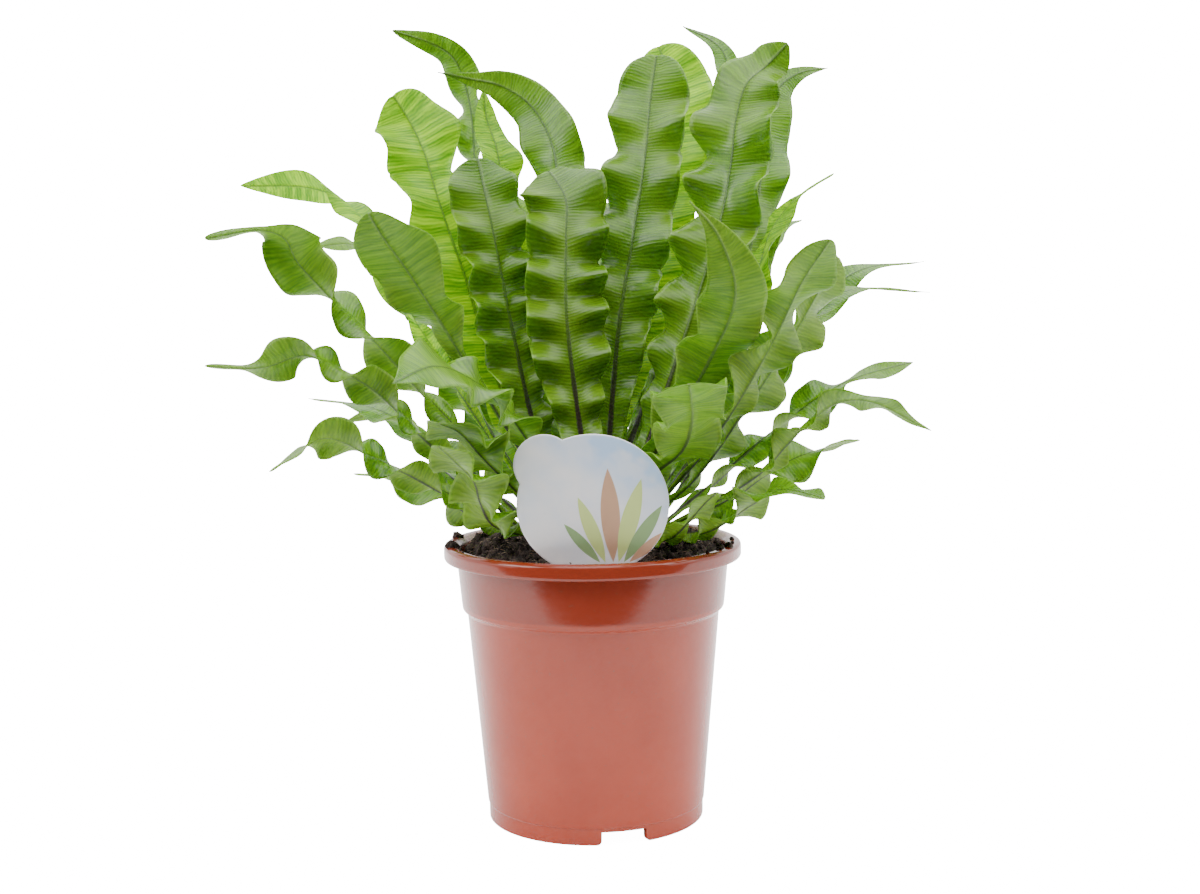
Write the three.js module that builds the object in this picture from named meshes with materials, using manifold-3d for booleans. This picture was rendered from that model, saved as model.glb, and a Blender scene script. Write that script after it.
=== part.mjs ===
// A crispy wave bird's nest fern in a 12 cm plastic nursery pot, in millimetres, +Z up.
// The origin is on the pot's axis, on the surface that the foot ring stands on.
// -Y is the front, where the care tag stands; angles are degrees round +Z from +X.

import * as THREE from "three";
import { mergeVertices } from "three/addons/utils/BufferGeometryUtils.js";
import Module from "manifold-3d";

const wasm = await Module();
wasm.setup();

// Pot
const potHeight = 112.6;
const rimRadius = 60;
const rimBand = 6.3;
const rimWidth = 5.6;
const collarTopRadius = 54.8;
const collarBottomRadius = 52.9;
const ridgeHeight = 86.4;
const bodyTopRadius = 51;
const bodyBottomRadius = 44.2;
const footHeight = 6.9;
const footRadius = 43.7;
const footWidth = 2.4;
const floorTop = 8.2;
const floorThickness = 1.6;
const wall = 1.4;
const potSides = 48;
const notchWidth = 18;
const notchHeight = 5.2;
const notchCorner = 2;
const notchAngles = [-75.3, 44.7, 164.7];
const drainHoles = 6;
const drainRadius = 4.5;
const drainCircle = 27;

// Soil and crown
const gap = 0.3;
const soilEdgeHeight = 105.5;
const soilInnerHeight = 111.5;
const crownRadius = 25;
const crownBottom = 99;
const crownTop = 118;
const crownShoulder = 110;
const stemDepth = 5;
const stemHoleRadius = 2.35;

// Fronds
const ringRadius = [4.6, 10.4, 15.8, 21];
const ringLean = [6, 20, 36, 52];
const stemHalfWidth = 1.6;
const tipHalfWidth = 0.6;
const bladeThickness = 0.7;
const ribBase = 1.15;
const ribTip = 0.5;
const ribShrink = 1.6;
const veinSweep = 0.22;
const waveGrowth = 0.82;
const waveStart = [0.08, 0.35];
const waveFade = 0.18;
const waveLeft = 0.25;
const crestLobe = 0.17;
const crestHang = 0.12;
const longPitch = 28;
const tipShape = [1.5, 0.5];
const tipShapeTaper = [0.6, 0.9];
const tipClose = 0.98;

// Care tag
const tagThickness = 0.7;
const tagRadius = 28.6;
const tagHeight = 27;
const tagCentre = [0.6, 133.7];
const tagLobeRadius = 11.6;
const tagLobe = [-17.3, 149.2];
const tagDepth = -50;
const tagLean = 4;
const stakeHalfWidth = 5;
const stakeLength = 62;
const stakeShoulder = 0.75;
const tagSteps = 40;

const DEGREE = Math.PI / 180;

// Solids: a geometry becomes a manifold for a cut, and comes back as a geometry.

function toSolid(geometry) {
  const bare = geometry.clone();
  bare.deleteAttribute("normal");
  bare.deleteAttribute("uv");
  const merged = mergeVertices(bare, 1e-4);
  return new wasm.Manifold(new wasm.Mesh({
    numProp: 3,
    vertProperties: new Float32Array(merged.attributes.position.array),
    triVerts: new Uint32Array(merged.index.array),
  }));
}

function toGeometry(solid) {
  const mesh = solid.getMesh();
  const geometry = new THREE.BufferGeometry();
  geometry.setAttribute("position", new THREE.BufferAttribute(mesh.vertProperties, 3));
  geometry.setIndex(new THREE.BufferAttribute(mesh.triVerts, 1));
  return geometry;
}

function lathe(points, sides) {
  const profile = points.map(([radius, height]) => new THREE.Vector2(radius, height));
  const geometry = new THREE.LatheGeometry(profile, sides);
  geometry.rotateX(Math.PI / 2);
  return geometry;
}

function plastic(color, roughness) {
  return new THREE.MeshStandardMaterial({ color, roughness, metalness: 0 });
}

function piece(name, geometry, material) {
  const mesh = new THREE.Mesh(geometry, material);
  mesh.name = name;
  return mesh;
}

// Pot: a thin shell with a hollow rolled rim, a stepped collar, a raised floor and a foot ring.

function potWallRadius(height) {
  if (height > ridgeHeight) {
    const share = (height - ridgeHeight) / (potHeight - rimBand - ridgeHeight);
    return THREE.MathUtils.lerp(collarBottomRadius, collarTopRadius, share);
  }
  const share = (height - footHeight) / (ridgeHeight - footHeight);
  return THREE.MathUtils.lerp(bodyBottomRadius, bodyTopRadius, share);
}

function potShell() {
  const top = potHeight;
  const skirtBottom = potHeight - rimBand;
  const underFloor = floorTop - floorThickness;
  return lathe([
    [0, underFloor],
    [footRadius - footWidth, underFloor],
    [footRadius - footWidth, 0],
    [footRadius - 0.4, 0],
    [footRadius, 0.5],
    [footRadius + 0.1, footHeight - 0.3],
    [bodyBottomRadius, footHeight],
    [bodyTopRadius, ridgeHeight - 1.8],
    [collarBottomRadius, ridgeHeight],
    [collarBottomRadius + 0.3, ridgeHeight + 2.4],
    [collarTopRadius, skirtBottom],
    [collarTopRadius + 0.3, top - 2.2],
    [rimRadius - wall, top - 2.2],
    [rimRadius - wall - 0.4, skirtBottom + 0.2],
    [rimRadius - 0.5, skirtBottom],
    [rimRadius, skirtBottom + 1],
    [rimRadius, top - 1.4],
    [rimRadius - 0.6, top - 0.4],
    [rimRadius - 1.8, top],
    [rimRadius - rimWidth + 1, top - 0.3],
    [rimRadius - rimWidth - 0.6, top - 2],
    [collarTopRadius - wall, skirtBottom],
    [collarBottomRadius - wall, ridgeHeight + 1.4],
    [bodyTopRadius - wall, ridgeHeight - 2.6],
    [bodyBottomRadius - wall, floorTop + 1.6],
    [bodyBottomRadius - wall - 1.6, floorTop],
    [0, floorTop],
  ], potSides);
}

// A notch lets water out from under the pot; its lower corners flare out in round fillets.
function footNotch() {
  const half = notchWidth / 2;
  const shape = new THREE.Shape();
  shape.moveTo(-half - notchCorner, -1);
  shape.lineTo(half + notchCorner, -1);
  shape.lineTo(half + notchCorner, 0);
  shape.absarc(half + notchCorner, notchCorner, notchCorner, -Math.PI / 2, -Math.PI, true);
  shape.lineTo(half, notchHeight);
  shape.lineTo(-half, notchHeight);
  shape.absarc(-half - notchCorner, notchCorner, notchCorner, 0, -Math.PI / 2, true);
  shape.closePath();
  const depth = footWidth + 6;
  const geometry = new THREE.ExtrudeGeometry(shape, { depth, bevelEnabled: false, curveSegments: 3 });
  geometry.rotateX(Math.PI / 2);
  geometry.rotateZ(Math.PI / 2);
  geometry.translate(footRadius - footWidth - 3, 0, 0);
  return geometry;
}

function potGeometry() {
  let pot = toSolid(potShell());
  for (const angle of notchAngles) {
    const notch = footNotch();
    notch.rotateZ(angle * DEGREE);
    pot = pot.subtract(toSolid(notch));
  }
  for (let index = 0; index < drainHoles; index += 1) {
    const hole = new THREE.CylinderGeometry(drainRadius, drainRadius, floorThickness + 4, 12);
    const angle = (index / drainHoles) * 2 * Math.PI;
    hole.rotateX(Math.PI / 2);
    hole.translate(drainCircle * Math.cos(angle), drainCircle * Math.sin(angle), floorTop);
    pot = pot.subtract(toSolid(hole));
  }
  return toGeometry(pot);
}

// Care tag: a flat card of one large and one small round lobe, on a pointed stake.
// The outline is drawn upright, x to the right and y up, then stood up at its place.

function tagOutline(margin) {
  const shape = new THREE.Shape();
  const bottom = tagCentre[1] - tagHeight;
  const half = stakeHalfWidth + margin;
  const wide = tagRadius + margin;
  const high = tagHeight + margin;
  const start = Math.asin(half / wide);
  const points = [[half, bottom - stakeLength * stakeShoulder], [0, bottom - stakeLength - margin]];
  points.push([-half, bottom - stakeLength * stakeShoulder]);
  for (let index = 0; index <= tagSteps; index += 1) {
    const angle = -Math.PI / 2 - start - (index / tagSteps) * (2 * Math.PI - 2 * start);
    const x = tagCentre[0] + wide * Math.cos(angle);
    const y = tagCentre[1] + high * Math.sin(angle);
    const fromLobe = Math.hypot(x - tagLobe[0], y - tagLobe[1]);
    const reach = tagLobeRadius + margin;
    const side = fromLobe < reach ? reach / fromLobe : 1;
    points.push([tagLobe[0] + (x - tagLobe[0]) * side, tagLobe[1] + (y - tagLobe[1]) * side]);
  }
  points.forEach(([x, y], index) => (index ? shape.lineTo(x, y) : shape.moveTo(x, y)));
  shape.closePath();
  return shape;
}

function tagGeometry(margin) {
  const depth = tagThickness + 2 * margin;
  const geometry = new THREE.ExtrudeGeometry(tagOutline(margin), { depth, bevelEnabled: false });
  geometry.translate(0, -tagCentre[1], -depth / 2);
  geometry.rotateX((90 + tagLean) * DEGREE);
  geometry.translate(0, tagDepth, tagCentre[1]);
  return geometry;
}

// Crown: a low dome with a plain hole for each stem.

function crownHeight(radius) {
  return crownTop - (crownTop - crownShoulder) * (radius / crownRadius) ** 2;
}

function crownDome() {
  const points = [[0, crownBottom], [crownRadius, crownBottom]];
  const rings = 3;
  for (let index = rings; index >= 0; index -= 1) {
    const radius = (crownRadius * index) / rings;
    points.push([radius, crownHeight(radius)]);
  }
  return lathe(points, 20);
}

// Where a stem leaves the crown, and which way it points.
function stemBase(ring, azimuth) {
  const radius = ringRadius[ring];
  const lean = ringLean[ring] * DEGREE;
  const angle = azimuth * DEGREE;
  return {
    point: new THREE.Vector3(
      radius * Math.cos(angle), radius * Math.sin(angle), crownHeight(radius)),
    direction: new THREE.Vector3(
      Math.sin(lean) * Math.cos(angle), Math.sin(lean) * Math.sin(angle), Math.cos(lean)),
  };
}

function stemHole({ ring, azimuth }) {
  const { point, direction } = stemBase(ring, azimuth);
  const length = 2 * (stemDepth + 0.6);
  const hole = new THREE.CylinderGeometry(stemHoleRadius, stemHoleRadius, length, 6);
  const up = new THREE.Vector3(0, 1, 0);
  hole.applyQuaternion(new THREE.Quaternion().setFromUnitVectors(up, direction));
  hole.translate(point.x, point.y, point.z);
  return hole;
}

function crownGeometry(rows) {
  let crown = toSolid(crownDome());
  for (const row of rows) {
    crown = crown.subtract(toSolid(stemHole(row)));
  }
  return toGeometry(crown);
}

// Soil: a plug that fills the pot to just under the rim, mounded and lumpy on top.

function soilLumps(x, y) {
  return 0.9 * Math.sin(0.31 * x + 1.3) * Math.cos(0.27 * y) + 0.7 * Math.sin(0.53 * y - 0.4 * x);
}

function soilGeometry() {
  const clear = wall + gap;
  const inner = crownRadius + gap;
  const edge = potWallRadius(soilEdgeHeight) - clear - 0.2;
  const points = [[0, crownBottom - gap], [inner, crownBottom - gap]];
  const rings = 5;
  for (let index = 0; index <= rings; index += 1) {
    const share = index / rings;
    const radius = THREE.MathUtils.lerp(inner, edge, share);
    const height = THREE.MathUtils.lerp(soilInnerHeight, soilEdgeHeight, share * share);
    points.push([radius, height]);
  }
  points.push([collarBottomRadius - clear - 0.1, ridgeHeight + 2]);
  points.push([bodyTopRadius - clear - 0.1, ridgeHeight - 2.6]);
  points.push([bodyBottomRadius - clear - 0.2, floorTop + 2.2]);
  points.push([bodyBottomRadius - clear - 2, floorTop + gap]);
  points.push([0, floorTop + gap]);
  const profile = points.reverse();
  const geometry = lathe(profile, 36);
  const position = geometry.attributes.position;
  for (let index = 0; index < position.count; index += 1) {
    const x = position.getX(index);
    const y = position.getY(index);
    const z = position.getZ(index);
    const radius = Math.hypot(x, y);
    if (z > soilEdgeHeight - 0.1 && radius < edge - 1) {
      position.setZ(index, z + soilLumps(x, y));
    }
  }
  return toGeometry(toSolid(geometry).subtract(toSolid(tagGeometry(gap))));
}

// Fronds: the midrib is a smooth curve from the crown through the points of a row. From it
// the two halves of the blade reach out in straight lines to the margins, and these lines
// swing up and down about the midrib from one wave to the next.
//   ring, azimuth: the stem's place on the crown, ring 0 the innermost
//   heading: the side of the plant that the blade leans to, its upper face turned from it
//   half: greatest half width; wave: greatest swing of the blade in degrees
//   pitch: length of a full wave along the midrib
//   twist: both halves swing as one, so that the blade winds like a ribbon; in the other
//     fronds they rise and fall together, so that it is fluted across the midrib
//   roll: turn of the blade about its midrib, in degrees, at the base and at the tip
//   swell: shares of the length between which the stem widens into the blade
//   still: share of the length from which the waves fade
//   taper: share of the length from which the blade narrows to its tip
//   path: the points that the midrib passes through, the last one being the tip

const rows = [
  { name: "frond_centre", ring: 0, azimuth: -90, heading: 96, half: 19,
    wave: 28, pitch: 15.5, roll: [0, 0], swell: [0.04, 0.54],
    still: 0.78, taper: 0.88,
    path: [[-9, 4, 201], [-9, 14, 234], [-9, 21, 250], [-13, 26, 258], [-16, 29, 262]] },
  { name: "frond_centre_left", ring: 0, azimuth: 170, heading: 110, half: 17,
    wave: 30, pitch: 15, roll: [0, 0], swell: [0.04, 0.54],
    still: 0.72, taper: 0.86,
    path: [[-21, 8, 152], [-31, 16, 194], [-39, 26, 236], [-46, 36, 268]] },
  { name: "frond_centre_right", ring: 0, azimuth: 15, heading: 78, half: 17.5,
    wave: 22, pitch: 22, roll: [0, 0], swell: [0.04, 0.54],
    still: 0.8, taper: 0.88,
    path: [[12, 15, 197], [19, 26, 237], [24, 34, 266], [27, 44, 292], [30, 51, 311]] },
  { name: "frond_behind_right", ring: 0, azimuth: 80, heading: 80, half: 18,
    wave: 24, pitch: 22, roll: [0, 0], swell: [0.04, 0.54],
    still: 0.8, taper: 0.88,
    path: [[28, 52, 229], [38, 68, 281], [37, 78, 304], [32, 84, 319]] },
  { name: "frond_back_bright", ring: 1, azimuth: 100, heading: 104, half: 12,
    wave: 34, pitch: 24, roll: [0, 20], swell: [0.04, 0.54],
    still: 0.74, taper: 0.76,
    path: [[-21, 44, 226], [-36, 60, 258], [-40, 66, 276], [-44, 70, 288], [-45, 73, 301]] },
  { name: "frond_right_tall", ring: 1, azimuth: 0, heading: 62, half: 18.5,
    wave: 26, pitch: 22, roll: [0, 0], swell: [0.04, 0.54],
    still: 0.74, taper: 0.8,
    path: [[52, 2, 236], [58, 8, 264], [60, 12, 279], [65, 16, 295], [73, 17, 302], [81, 12, 310]] },
  { name: "frond_left_bright", ring: 1, azimuth: 165, heading: 120, half: 20,
    wave: 28, pitch: 26, roll: [0, 0], swell: [0.04, 0.54],
    still: 0.8, taper: 0.86,
    path: [[-36, 26, 169], [-53, 32, 223], [-62, 38, 249], [-69, 44, 272], [-75, 46, 285],
           [-81, 42, 295]] },
  { name: "frond_back_left_whip", ring: 1, azimuth: 128, heading: 130, half: 8,
    wave: 68, pitch: 26, twist: true, roll: [0, -75], swell: [0.04, 0.7],
    still: 0.7, taper: 0.8,
    path: [[-36, 61, 197], [-50, 92, 266], [-54, 104, 301], [-62, 107, 320], [-88, 107, 331]] },
  { name: "frond_back_arching", ring: 0, azimuth: 125, heading: 120, half: 14,
    wave: 30, pitch: 30, roll: [0, -70], swell: [0.04, 0.54],
    still: 0.6, taper: 0.68,
    path: [[-12, 42, 249], [-15, 54, 275], [-24, 62, 292], [-37, 66, 301], [-50, 66, 304],
           [-64, 64, 307]] },
  { name: "frond_back_right_whip", ring: 1, azimuth: 68, heading: 70, half: 9,
    wave: 60, pitch: 28, twist: true, roll: [0, 60], swell: [0.04, 0.7],
    still: 0.72, taper: 0.76,
    path: [[33, 51, 188], [56, 82, 251], [64, 98, 300], [61, 104, 320], [44, 107, 331]] },
  { name: "frond_back_right_curl", ring: 1, azimuth: 40, heading: 62, half: 13,
    wave: 28, pitch: 26, roll: [0, 50], swell: [0.04, 0.54],
    still: 0.66, taper: 0.72,
    path: [[65, 40, 220], [73, 56, 252], [78, 68, 280], [83, 76, 298], [93, 82, 306], [107, 86, 309]] },
  { name: "frond_right_arching", ring: 1, azimuth: -48, heading: -62, half: 14,
    wave: 20, pitch: 24, roll: [0, -20], swell: [0.04, 0.54],
    still: 0.6, taper: 0.66,
    path: [[20, -18, 142], [46, -38, 188], [54, -54, 212], [47, -64, 233], [37, -66, 245]] },
  { name: "frond_left_oval", ring: 1, azimuth: -155, heading: -145, half: 15.5,
    wave: 34, pitch: 26, roll: [20, 40], swell: [0.45, 0.82],
    still: 0.66, taper: 0.84,
    path: [[-30, -12, 155], [-52, -25, 194], [-68, -42, 223], [-75.5, -50, 235], [-79.5, -54, 243]] },
  { name: "frond_right_high", ring: 2, azimuth: 24, heading: 34, half: 12.5,
    wave: 20, pitch: 26, roll: [0, -20], swell: [0.3, 0.75],
    still: 0.7, taper: 0.78,
    path: [[60, 8, 192], [71, 20, 224], [75, 26, 235], [83, 31, 246], [91, 34, 253], [103, 38, 260]] },
  { name: "frond_right_broad", ring: 2, azimuth: -4, heading: 10, half: 18,
    wave: 26, pitch: 24, roll: [-30, -50], swell: [0.04, 0.54],
    still: 0.78, taper: 0.84,
    path: [[40, -7, 137], [61, -7, 165], [77.5, -6, 189], [90, -4, 210], [99, -2, 225]] },
  { name: "frond_right_front", ring: 2, azimuth: -30, heading: -25, half: 15,
    wave: 30, pitch: 24, roll: [0, -30], swell: [0.25, 0.72],
    still: 0.76, taper: 0.82,
    path: [[42, -27, 149], [57, -36, 172], [72, -35, 198], [80, -42, 216], [89, -52, 231]] },
  { name: "frond_front_curled", ring: 2, azimuth: -66, heading: -66, half: 14,
    wave: 22, pitch: 25, roll: [0, 0], swell: [0.04, 0.54],
    still: 0.76, taper: 0.88,
    path: [[21, -30, 140], [34, -44, 153], [37, -62, 165], [36, -80, 175], [34, -105, 182]] },
  { name: "frond_left_crumpled", ring: 2, azimuth: -124, heading: -126, half: 15,
    wave: 34, pitch: 18, roll: [0, 0], swell: [0.04, 0.54],
    still: 0.74, taper: 0.82,
    path: [[-29, -33, 138], [-41, -48, 153], [-48, -60, 163], [-54, -69, 167]] },
  { name: "frond_left_front", ring: 2, azimuth: -142, heading: -132, half: 15,
    wave: 32, pitch: 24, roll: [0, -45], swell: [0.04, 0.6],
    still: 0.6, taper: 0.7,
    path: [[-17, -24, 142], [-31, -44, 169], [-43, -63, 182], [-54, -82, 188], [-66, -108, 184]] },
  { name: "frond_left_helix_high", ring: 2, azimuth: -168, heading: -165, half: 11.5,
    wave: 66, pitch: 47, twist: true, roll: [0, 30], swell: [0.04, 0.7],
    still: 0.78, taper: 0.82,
    path: [[-71, -14, 180], [-83, -20, 195], [-102, -28, 216], [-110, -32, 226], [-114, -36, 235],
           [-122, -39, 238], [-142, -44, 235]] },
  { name: "frond_left_high", ring: 2, azimuth: 160, heading: 165, half: 11,
    wave: 50, pitch: 60, twist: true, roll: [0, 40], swell: [0.1, 0.8],
    still: 0.72, taper: 0.78,
    path: [[-64, 12, 190], [-78, 19, 212], [-89, 27, 234], [-96, 33, 246], [-106, 38, 254],
           [-119, 42, 258], [-147, 47, 259]] },
  { name: "frond_left_back", ring: 2, azimuth: 138, heading: 140, half: 15,
    wave: 24, pitch: 28, roll: [0, 20], swell: [0.04, 0.54],
    still: 0.7, taper: 0.8,
    path: [[-38, 38, 160], [-72, 66, 206], [-104, 84, 234], [-122, 90, 234]] },
  { name: "frond_back_left", ring: 2, azimuth: 112, heading: 112, half: 17,
    wave: 28, pitch: 21, roll: [0, 0], swell: [0.04, 0.54],
    still: 0.7, taper: 0.78,
    path: [[-13, 59, 164], [-22, 93, 213], [-32, 103, 240], [-48, 106, 251]] },
  { name: "frond_back", ring: 2, azimuth: 86, heading: 88, half: 18,
    wave: 28, pitch: 21, roll: [0, 0], swell: [0.04, 0.54],
    still: 0.7, taper: 0.78,
    path: [[9, 56, 170], [12, 86, 222], [10, 102, 246], [6, 108, 252]] },
  { name: "frond_back_right", ring: 2, azimuth: 58, heading: 55, half: 16,
    wave: 28, pitch: 22, roll: [0, 0], swell: [0.04, 0.54],
    still: 0.66, taper: 0.75,
    path: [[34, 53, 162], [62, 84, 212], [80, 98, 236], [98, 106, 243]] },
  { name: "frond_right_far_whip", ring: 3, azimuth: 34, heading: 30, half: 11,
    wave: 50, pitch: 50, twist: true, roll: [0, 20], swell: [0.04, 0.6],
    still: 0.6, taper: 0.66,
    path: [[47, 40, 146], [88, 61, 190], [115, 64, 218], [146, 64, 223]] },
  { name: "frond_right_far_low", ring: 3, azimuth: 20, heading: 18, half: 9,
    wave: 50, pitch: 44, twist: true, roll: [0, 0], swell: [0.04, 0.6],
    still: 0.55, taper: 0.64,
    path: [[64, 24, 167], [83, 30, 188], [95, 34, 201], [109, 36, 211], [144, 40, 210]] },
  { name: "frond_right_low_whip", ring: 3, azimuth: 6, heading: 10, half: 8.5,
    wave: 60, pitch: 32, twist: true, roll: [0, 20], swell: [0.04, 0.6],
    still: 0.66, taper: 0.78,
    path: [[48, 12, 132], [76, 21, 154], [106, 26, 173], [135, 30, 181]] },
  { name: "frond_right_ruffled", ring: 3, azimuth: -22, heading: -15, half: 10,
    wave: 38, pitch: 20, roll: [0, -30], swell: [0.04, 0.7],
    still: 0.6, taper: 0.74,
    path: [[64, -20, 140], [76, -25, 153], [85, -29, 163], [96, -32, 170], [107, -33, 170],
           [131, -30, 158]] },
  { name: "frond_right_lowest", ring: 3, azimuth: -8, heading: 0, half: 10.5,
    wave: 60, pitch: 36, twist: true, roll: [0, 0], swell: [0.04, 0.7],
    still: 0.7, taper: 0.88,
    path: [[54, -5, 128], [68, -6, 138], [79, -6, 144], [90, -5, 148], [107, -3, 152]] },
  { name: "frond_right_front_low", ring: 3, azimuth: -36, heading: -42, half: 13,
    wave: 30, pitch: 22, roll: [0, 0], swell: [0.04, 0.54],
    still: 0.66, taper: 0.8,
    path: [[45, -27, 120], [61, -40, 132], [71, -55, 139], [85, -66, 137]] },
  { name: "frond_front_low", ring: 3, azimuth: -50, heading: -52, half: 7.5,
    wave: 28, pitch: 20, roll: [0, 0], swell: [0.04, 0.54],
    still: 0.7, taper: 0.8,
    path: [[30, -37, 119], [37, -45, 127], [42, -52, 134], [46, -59, 139]] },
  { name: "frond_left_helix_low", ring: 3, azimuth: -168, heading: -162, half: 8.5,
    wave: 60, pitch: 34, twist: true, roll: [0, 30], swell: [0.04, 0.6],
    still: 0.78, taper: 0.8,
    path: [[-66, -20, 158], [-75, -26, 169], [-84, -31, 178], [-96, -37, 186], [-107, -42, 191],
           [-122, -47, 187], [-142, -52, 188]] },
  { name: "frond_left_low_whip", ring: 3, azimuth: -152, heading: -156, half: 9.5,
    wave: 60, pitch: 34, twist: true, roll: [0, 20], swell: [0.04, 0.7],
    still: 0.74, taper: 0.78,
    path: [[-62, -28, 139], [-71, -33, 145], [-82, -38, 151], [-93, -42, 158], [-101, -45, 160],
           [-111, -48, 154], [-120, -50, 148]] },
  { name: "frond_left_corrugated", ring: 3, azimuth: -134, heading: -137, half: 13.5,
    wave: 30, pitch: 17, roll: [0, 0], swell: [0.04, 0.54],
    still: 0.8, taper: 0.85,
    path: [[-37, -38, 125], [-41, -51, 135], [-43, -60, 145], [-49, -68, 153], [-54, -73, 159]] },
  { name: "frond_left_lowest", ring: 3, azimuth: 178, heading: 178, half: 11.5,
    wave: 50, pitch: 36, twist: true, roll: [0, 0], swell: [0.04, 0.5],
    still: 0.7, taper: 0.74,
    path: [[-44, 2, 120], [-62, 4, 132], [-78, 6, 138], [-97, 8, 140]] },
  { name: "frond_left_back_mid", ring: 3, azimuth: 147, heading: 146, half: 9,
    wave: 48, pitch: 40, twist: true, roll: [0, 20], swell: [0.04, 0.6],
    still: 0.6, taper: 0.7,
    path: [[-60, 44, 133], [-73, 58, 144], [-83, 66, 154], [-95, 70, 159], [-112, 72, 155]] },
  { name: "frond_left_back_low", ring: 3, azimuth: 160, heading: 154, half: 9,
    wave: 50, pitch: 40, twist: true, roll: [0, 0], swell: [0.04, 0.6],
    still: 0.6, taper: 0.7,
    path: [[-44, 26, 132], [-68, 38, 150], [-94, 52, 163], [-124, 64, 167]] },
  { name: "frond_back_left_low", ring: 3, azimuth: 134, heading: 130, half: 14,
    wave: 28, pitch: 22, roll: [0, 0], swell: [0.04, 0.54],
    still: 0.66, taper: 0.75,
    path: [[-32, 45, 134], [-54, 73, 164], [-74, 92, 183], [-94, 105, 186]] },
  { name: "frond_back_low_left", ring: 3, azimuth: 104, heading: 104, half: 14,
    wave: 28, pitch: 22, roll: [0, 0], swell: [0.04, 0.54],
    still: 0.66, taper: 0.75,
    path: [[-10, 52, 134], [-18, 80, 163], [-24, 99, 182], [-31, 108, 187]] },
  { name: "frond_back_low_right", ring: 3, azimuth: 78, heading: 72, half: 14,
    wave: 28, pitch: 22, roll: [0, 0], swell: [0.04, 0.54],
    still: 0.66, taper: 0.75,
    path: [[16, 52, 134], [28, 80, 163], [36, 99, 181], [44, 108, 184]] },
  { name: "frond_back_right_low", ring: 3, azimuth: 54, heading: 46, half: 13,
    wave: 28, pitch: 22, roll: [0, 0], swell: [0.04, 0.54],
    still: 0.66, taper: 0.75,
    path: [[34, 49, 132], [62, 74, 160], [84, 91, 181], [106, 103, 186]] },
];

function midrib({ ring, azimuth, path }) {
  const { point, direction } = stemBase(ring, azimuth);
  const foot = point.clone().addScaledVector(direction, -stemDepth);
  const neck = point.clone().addScaledVector(direction, stemDepth);
  const rest = path.map(([x, y, z]) => new THREE.Vector3(x, y, z));
  return new THREE.CatmullRomCurve3([foot, point, neck, ...rest], false, "centripetal");
}

// Half width of the blade at a share of the way from the stem to the tip. The later the tip
// begins, the blunter it is.
function halfWidth(share, { half, swell, taper }) {
  const { smoothstep, lerp } = THREE.MathUtils;
  const body = lerp(stemHalfWidth, half, smoothstep(share, ...swell));
  const past = Math.max(share - taper, 0) / (1 - taper);
  const power = lerp(...tipShape, smoothstep(taper, ...tipShapeTaper));
  const narrow = Math.cos(past * tipClose * (Math.PI / 2)) ** power;
  return Math.max(body * narrow, tipHalfWidth);
}

// How far the waves have grown at a share of the length: none on the stem, few at the tip.
function waveSize(share, still) {
  const { smoothstep, lerp } = THREE.MathUtils;
  const grown = smoothstep(share, ...waveStart);
  return grown * lerp(1, waveLeft, smoothstep(share, still, still + waveFade));
}

// Direction in which a margin's thickness is laid off, with a mitre at a sharp crest.
function offsetNormal(before, here, after, across) {
  const first = new THREE.Vector3().subVectors(here, before).cross(across).normalize();
  const second = new THREE.Vector3().subVectors(after, here).cross(across).normalize();
  const sum = first.clone().add(second).normalize();
  return sum.divideScalar(Math.max(sum.dot(first), 0.5));
}

// Shares of the length at which the blade is drawn: the crests and troughs of the waves, or
// two places on each side of them where the blade winds or its waves are long.
function stationShares(row, halfWaves) {
  const steps = halfWaves * (row.twist || row.pitch >= longPitch ? 2 : 1);
  const inner = Array.from({ length: steps }, (_, index) => (index + 0.5) / steps);
  return [0, ...inner.map((part) => part ** (1 / waveGrowth)), 1];
}

// Three points across each station: left margin, midrib, right margin.
function frondStations(row) {
  const curve = midrib(row);
  const halfWaves = Math.round((2 * curve.getLength()) / row.pitch);
  const heading = row.heading * DEGREE;
  const sideways = new THREE.Vector3(-Math.sin(heading), Math.cos(heading), 0);
  return stationShares(row, halfWaves).map((share) => {
    const tangent = curve.getTangentAt(share);
    const centre = curve.getPointAt(share);
    const across = sideways.clone().addScaledVector(tangent, -sideways.dot(tangent)).normalize();
    const roll = THREE.MathUtils.lerp(row.roll[0], row.roll[1], share) * DEGREE;
    across.applyAxisAngle(tangent, roll);
    const face = new THREE.Vector3().crossVectors(tangent, across);
    const rise = Math.sin(Math.PI * halfWaves * share ** waveGrowth);
    const size = waveSize(share, row.still);
    const swing = row.wave * DEGREE * size * rise;
    const lobe = row.twist ? 1 : 1 - crestLobe * size * (1 - rise) / 2;
    const hang = row.twist ? 0 : crestHang * size * Math.max(rise, 0);
    const reach = halfWidth(share, row) * lobe;
    const columns = [-1, 0, 1].map((side) => centre.clone()
      .addScaledVector(across, side * reach * Math.cos(swing))
      .addScaledVector(face, (row.twist ? side : Math.abs(side)) * reach * Math.sin(swing))
      .addScaledVector(tangent, Math.abs(side) * reach * (veinSweep - hang)));
    return { share, columns, across };
  });
}

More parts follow.
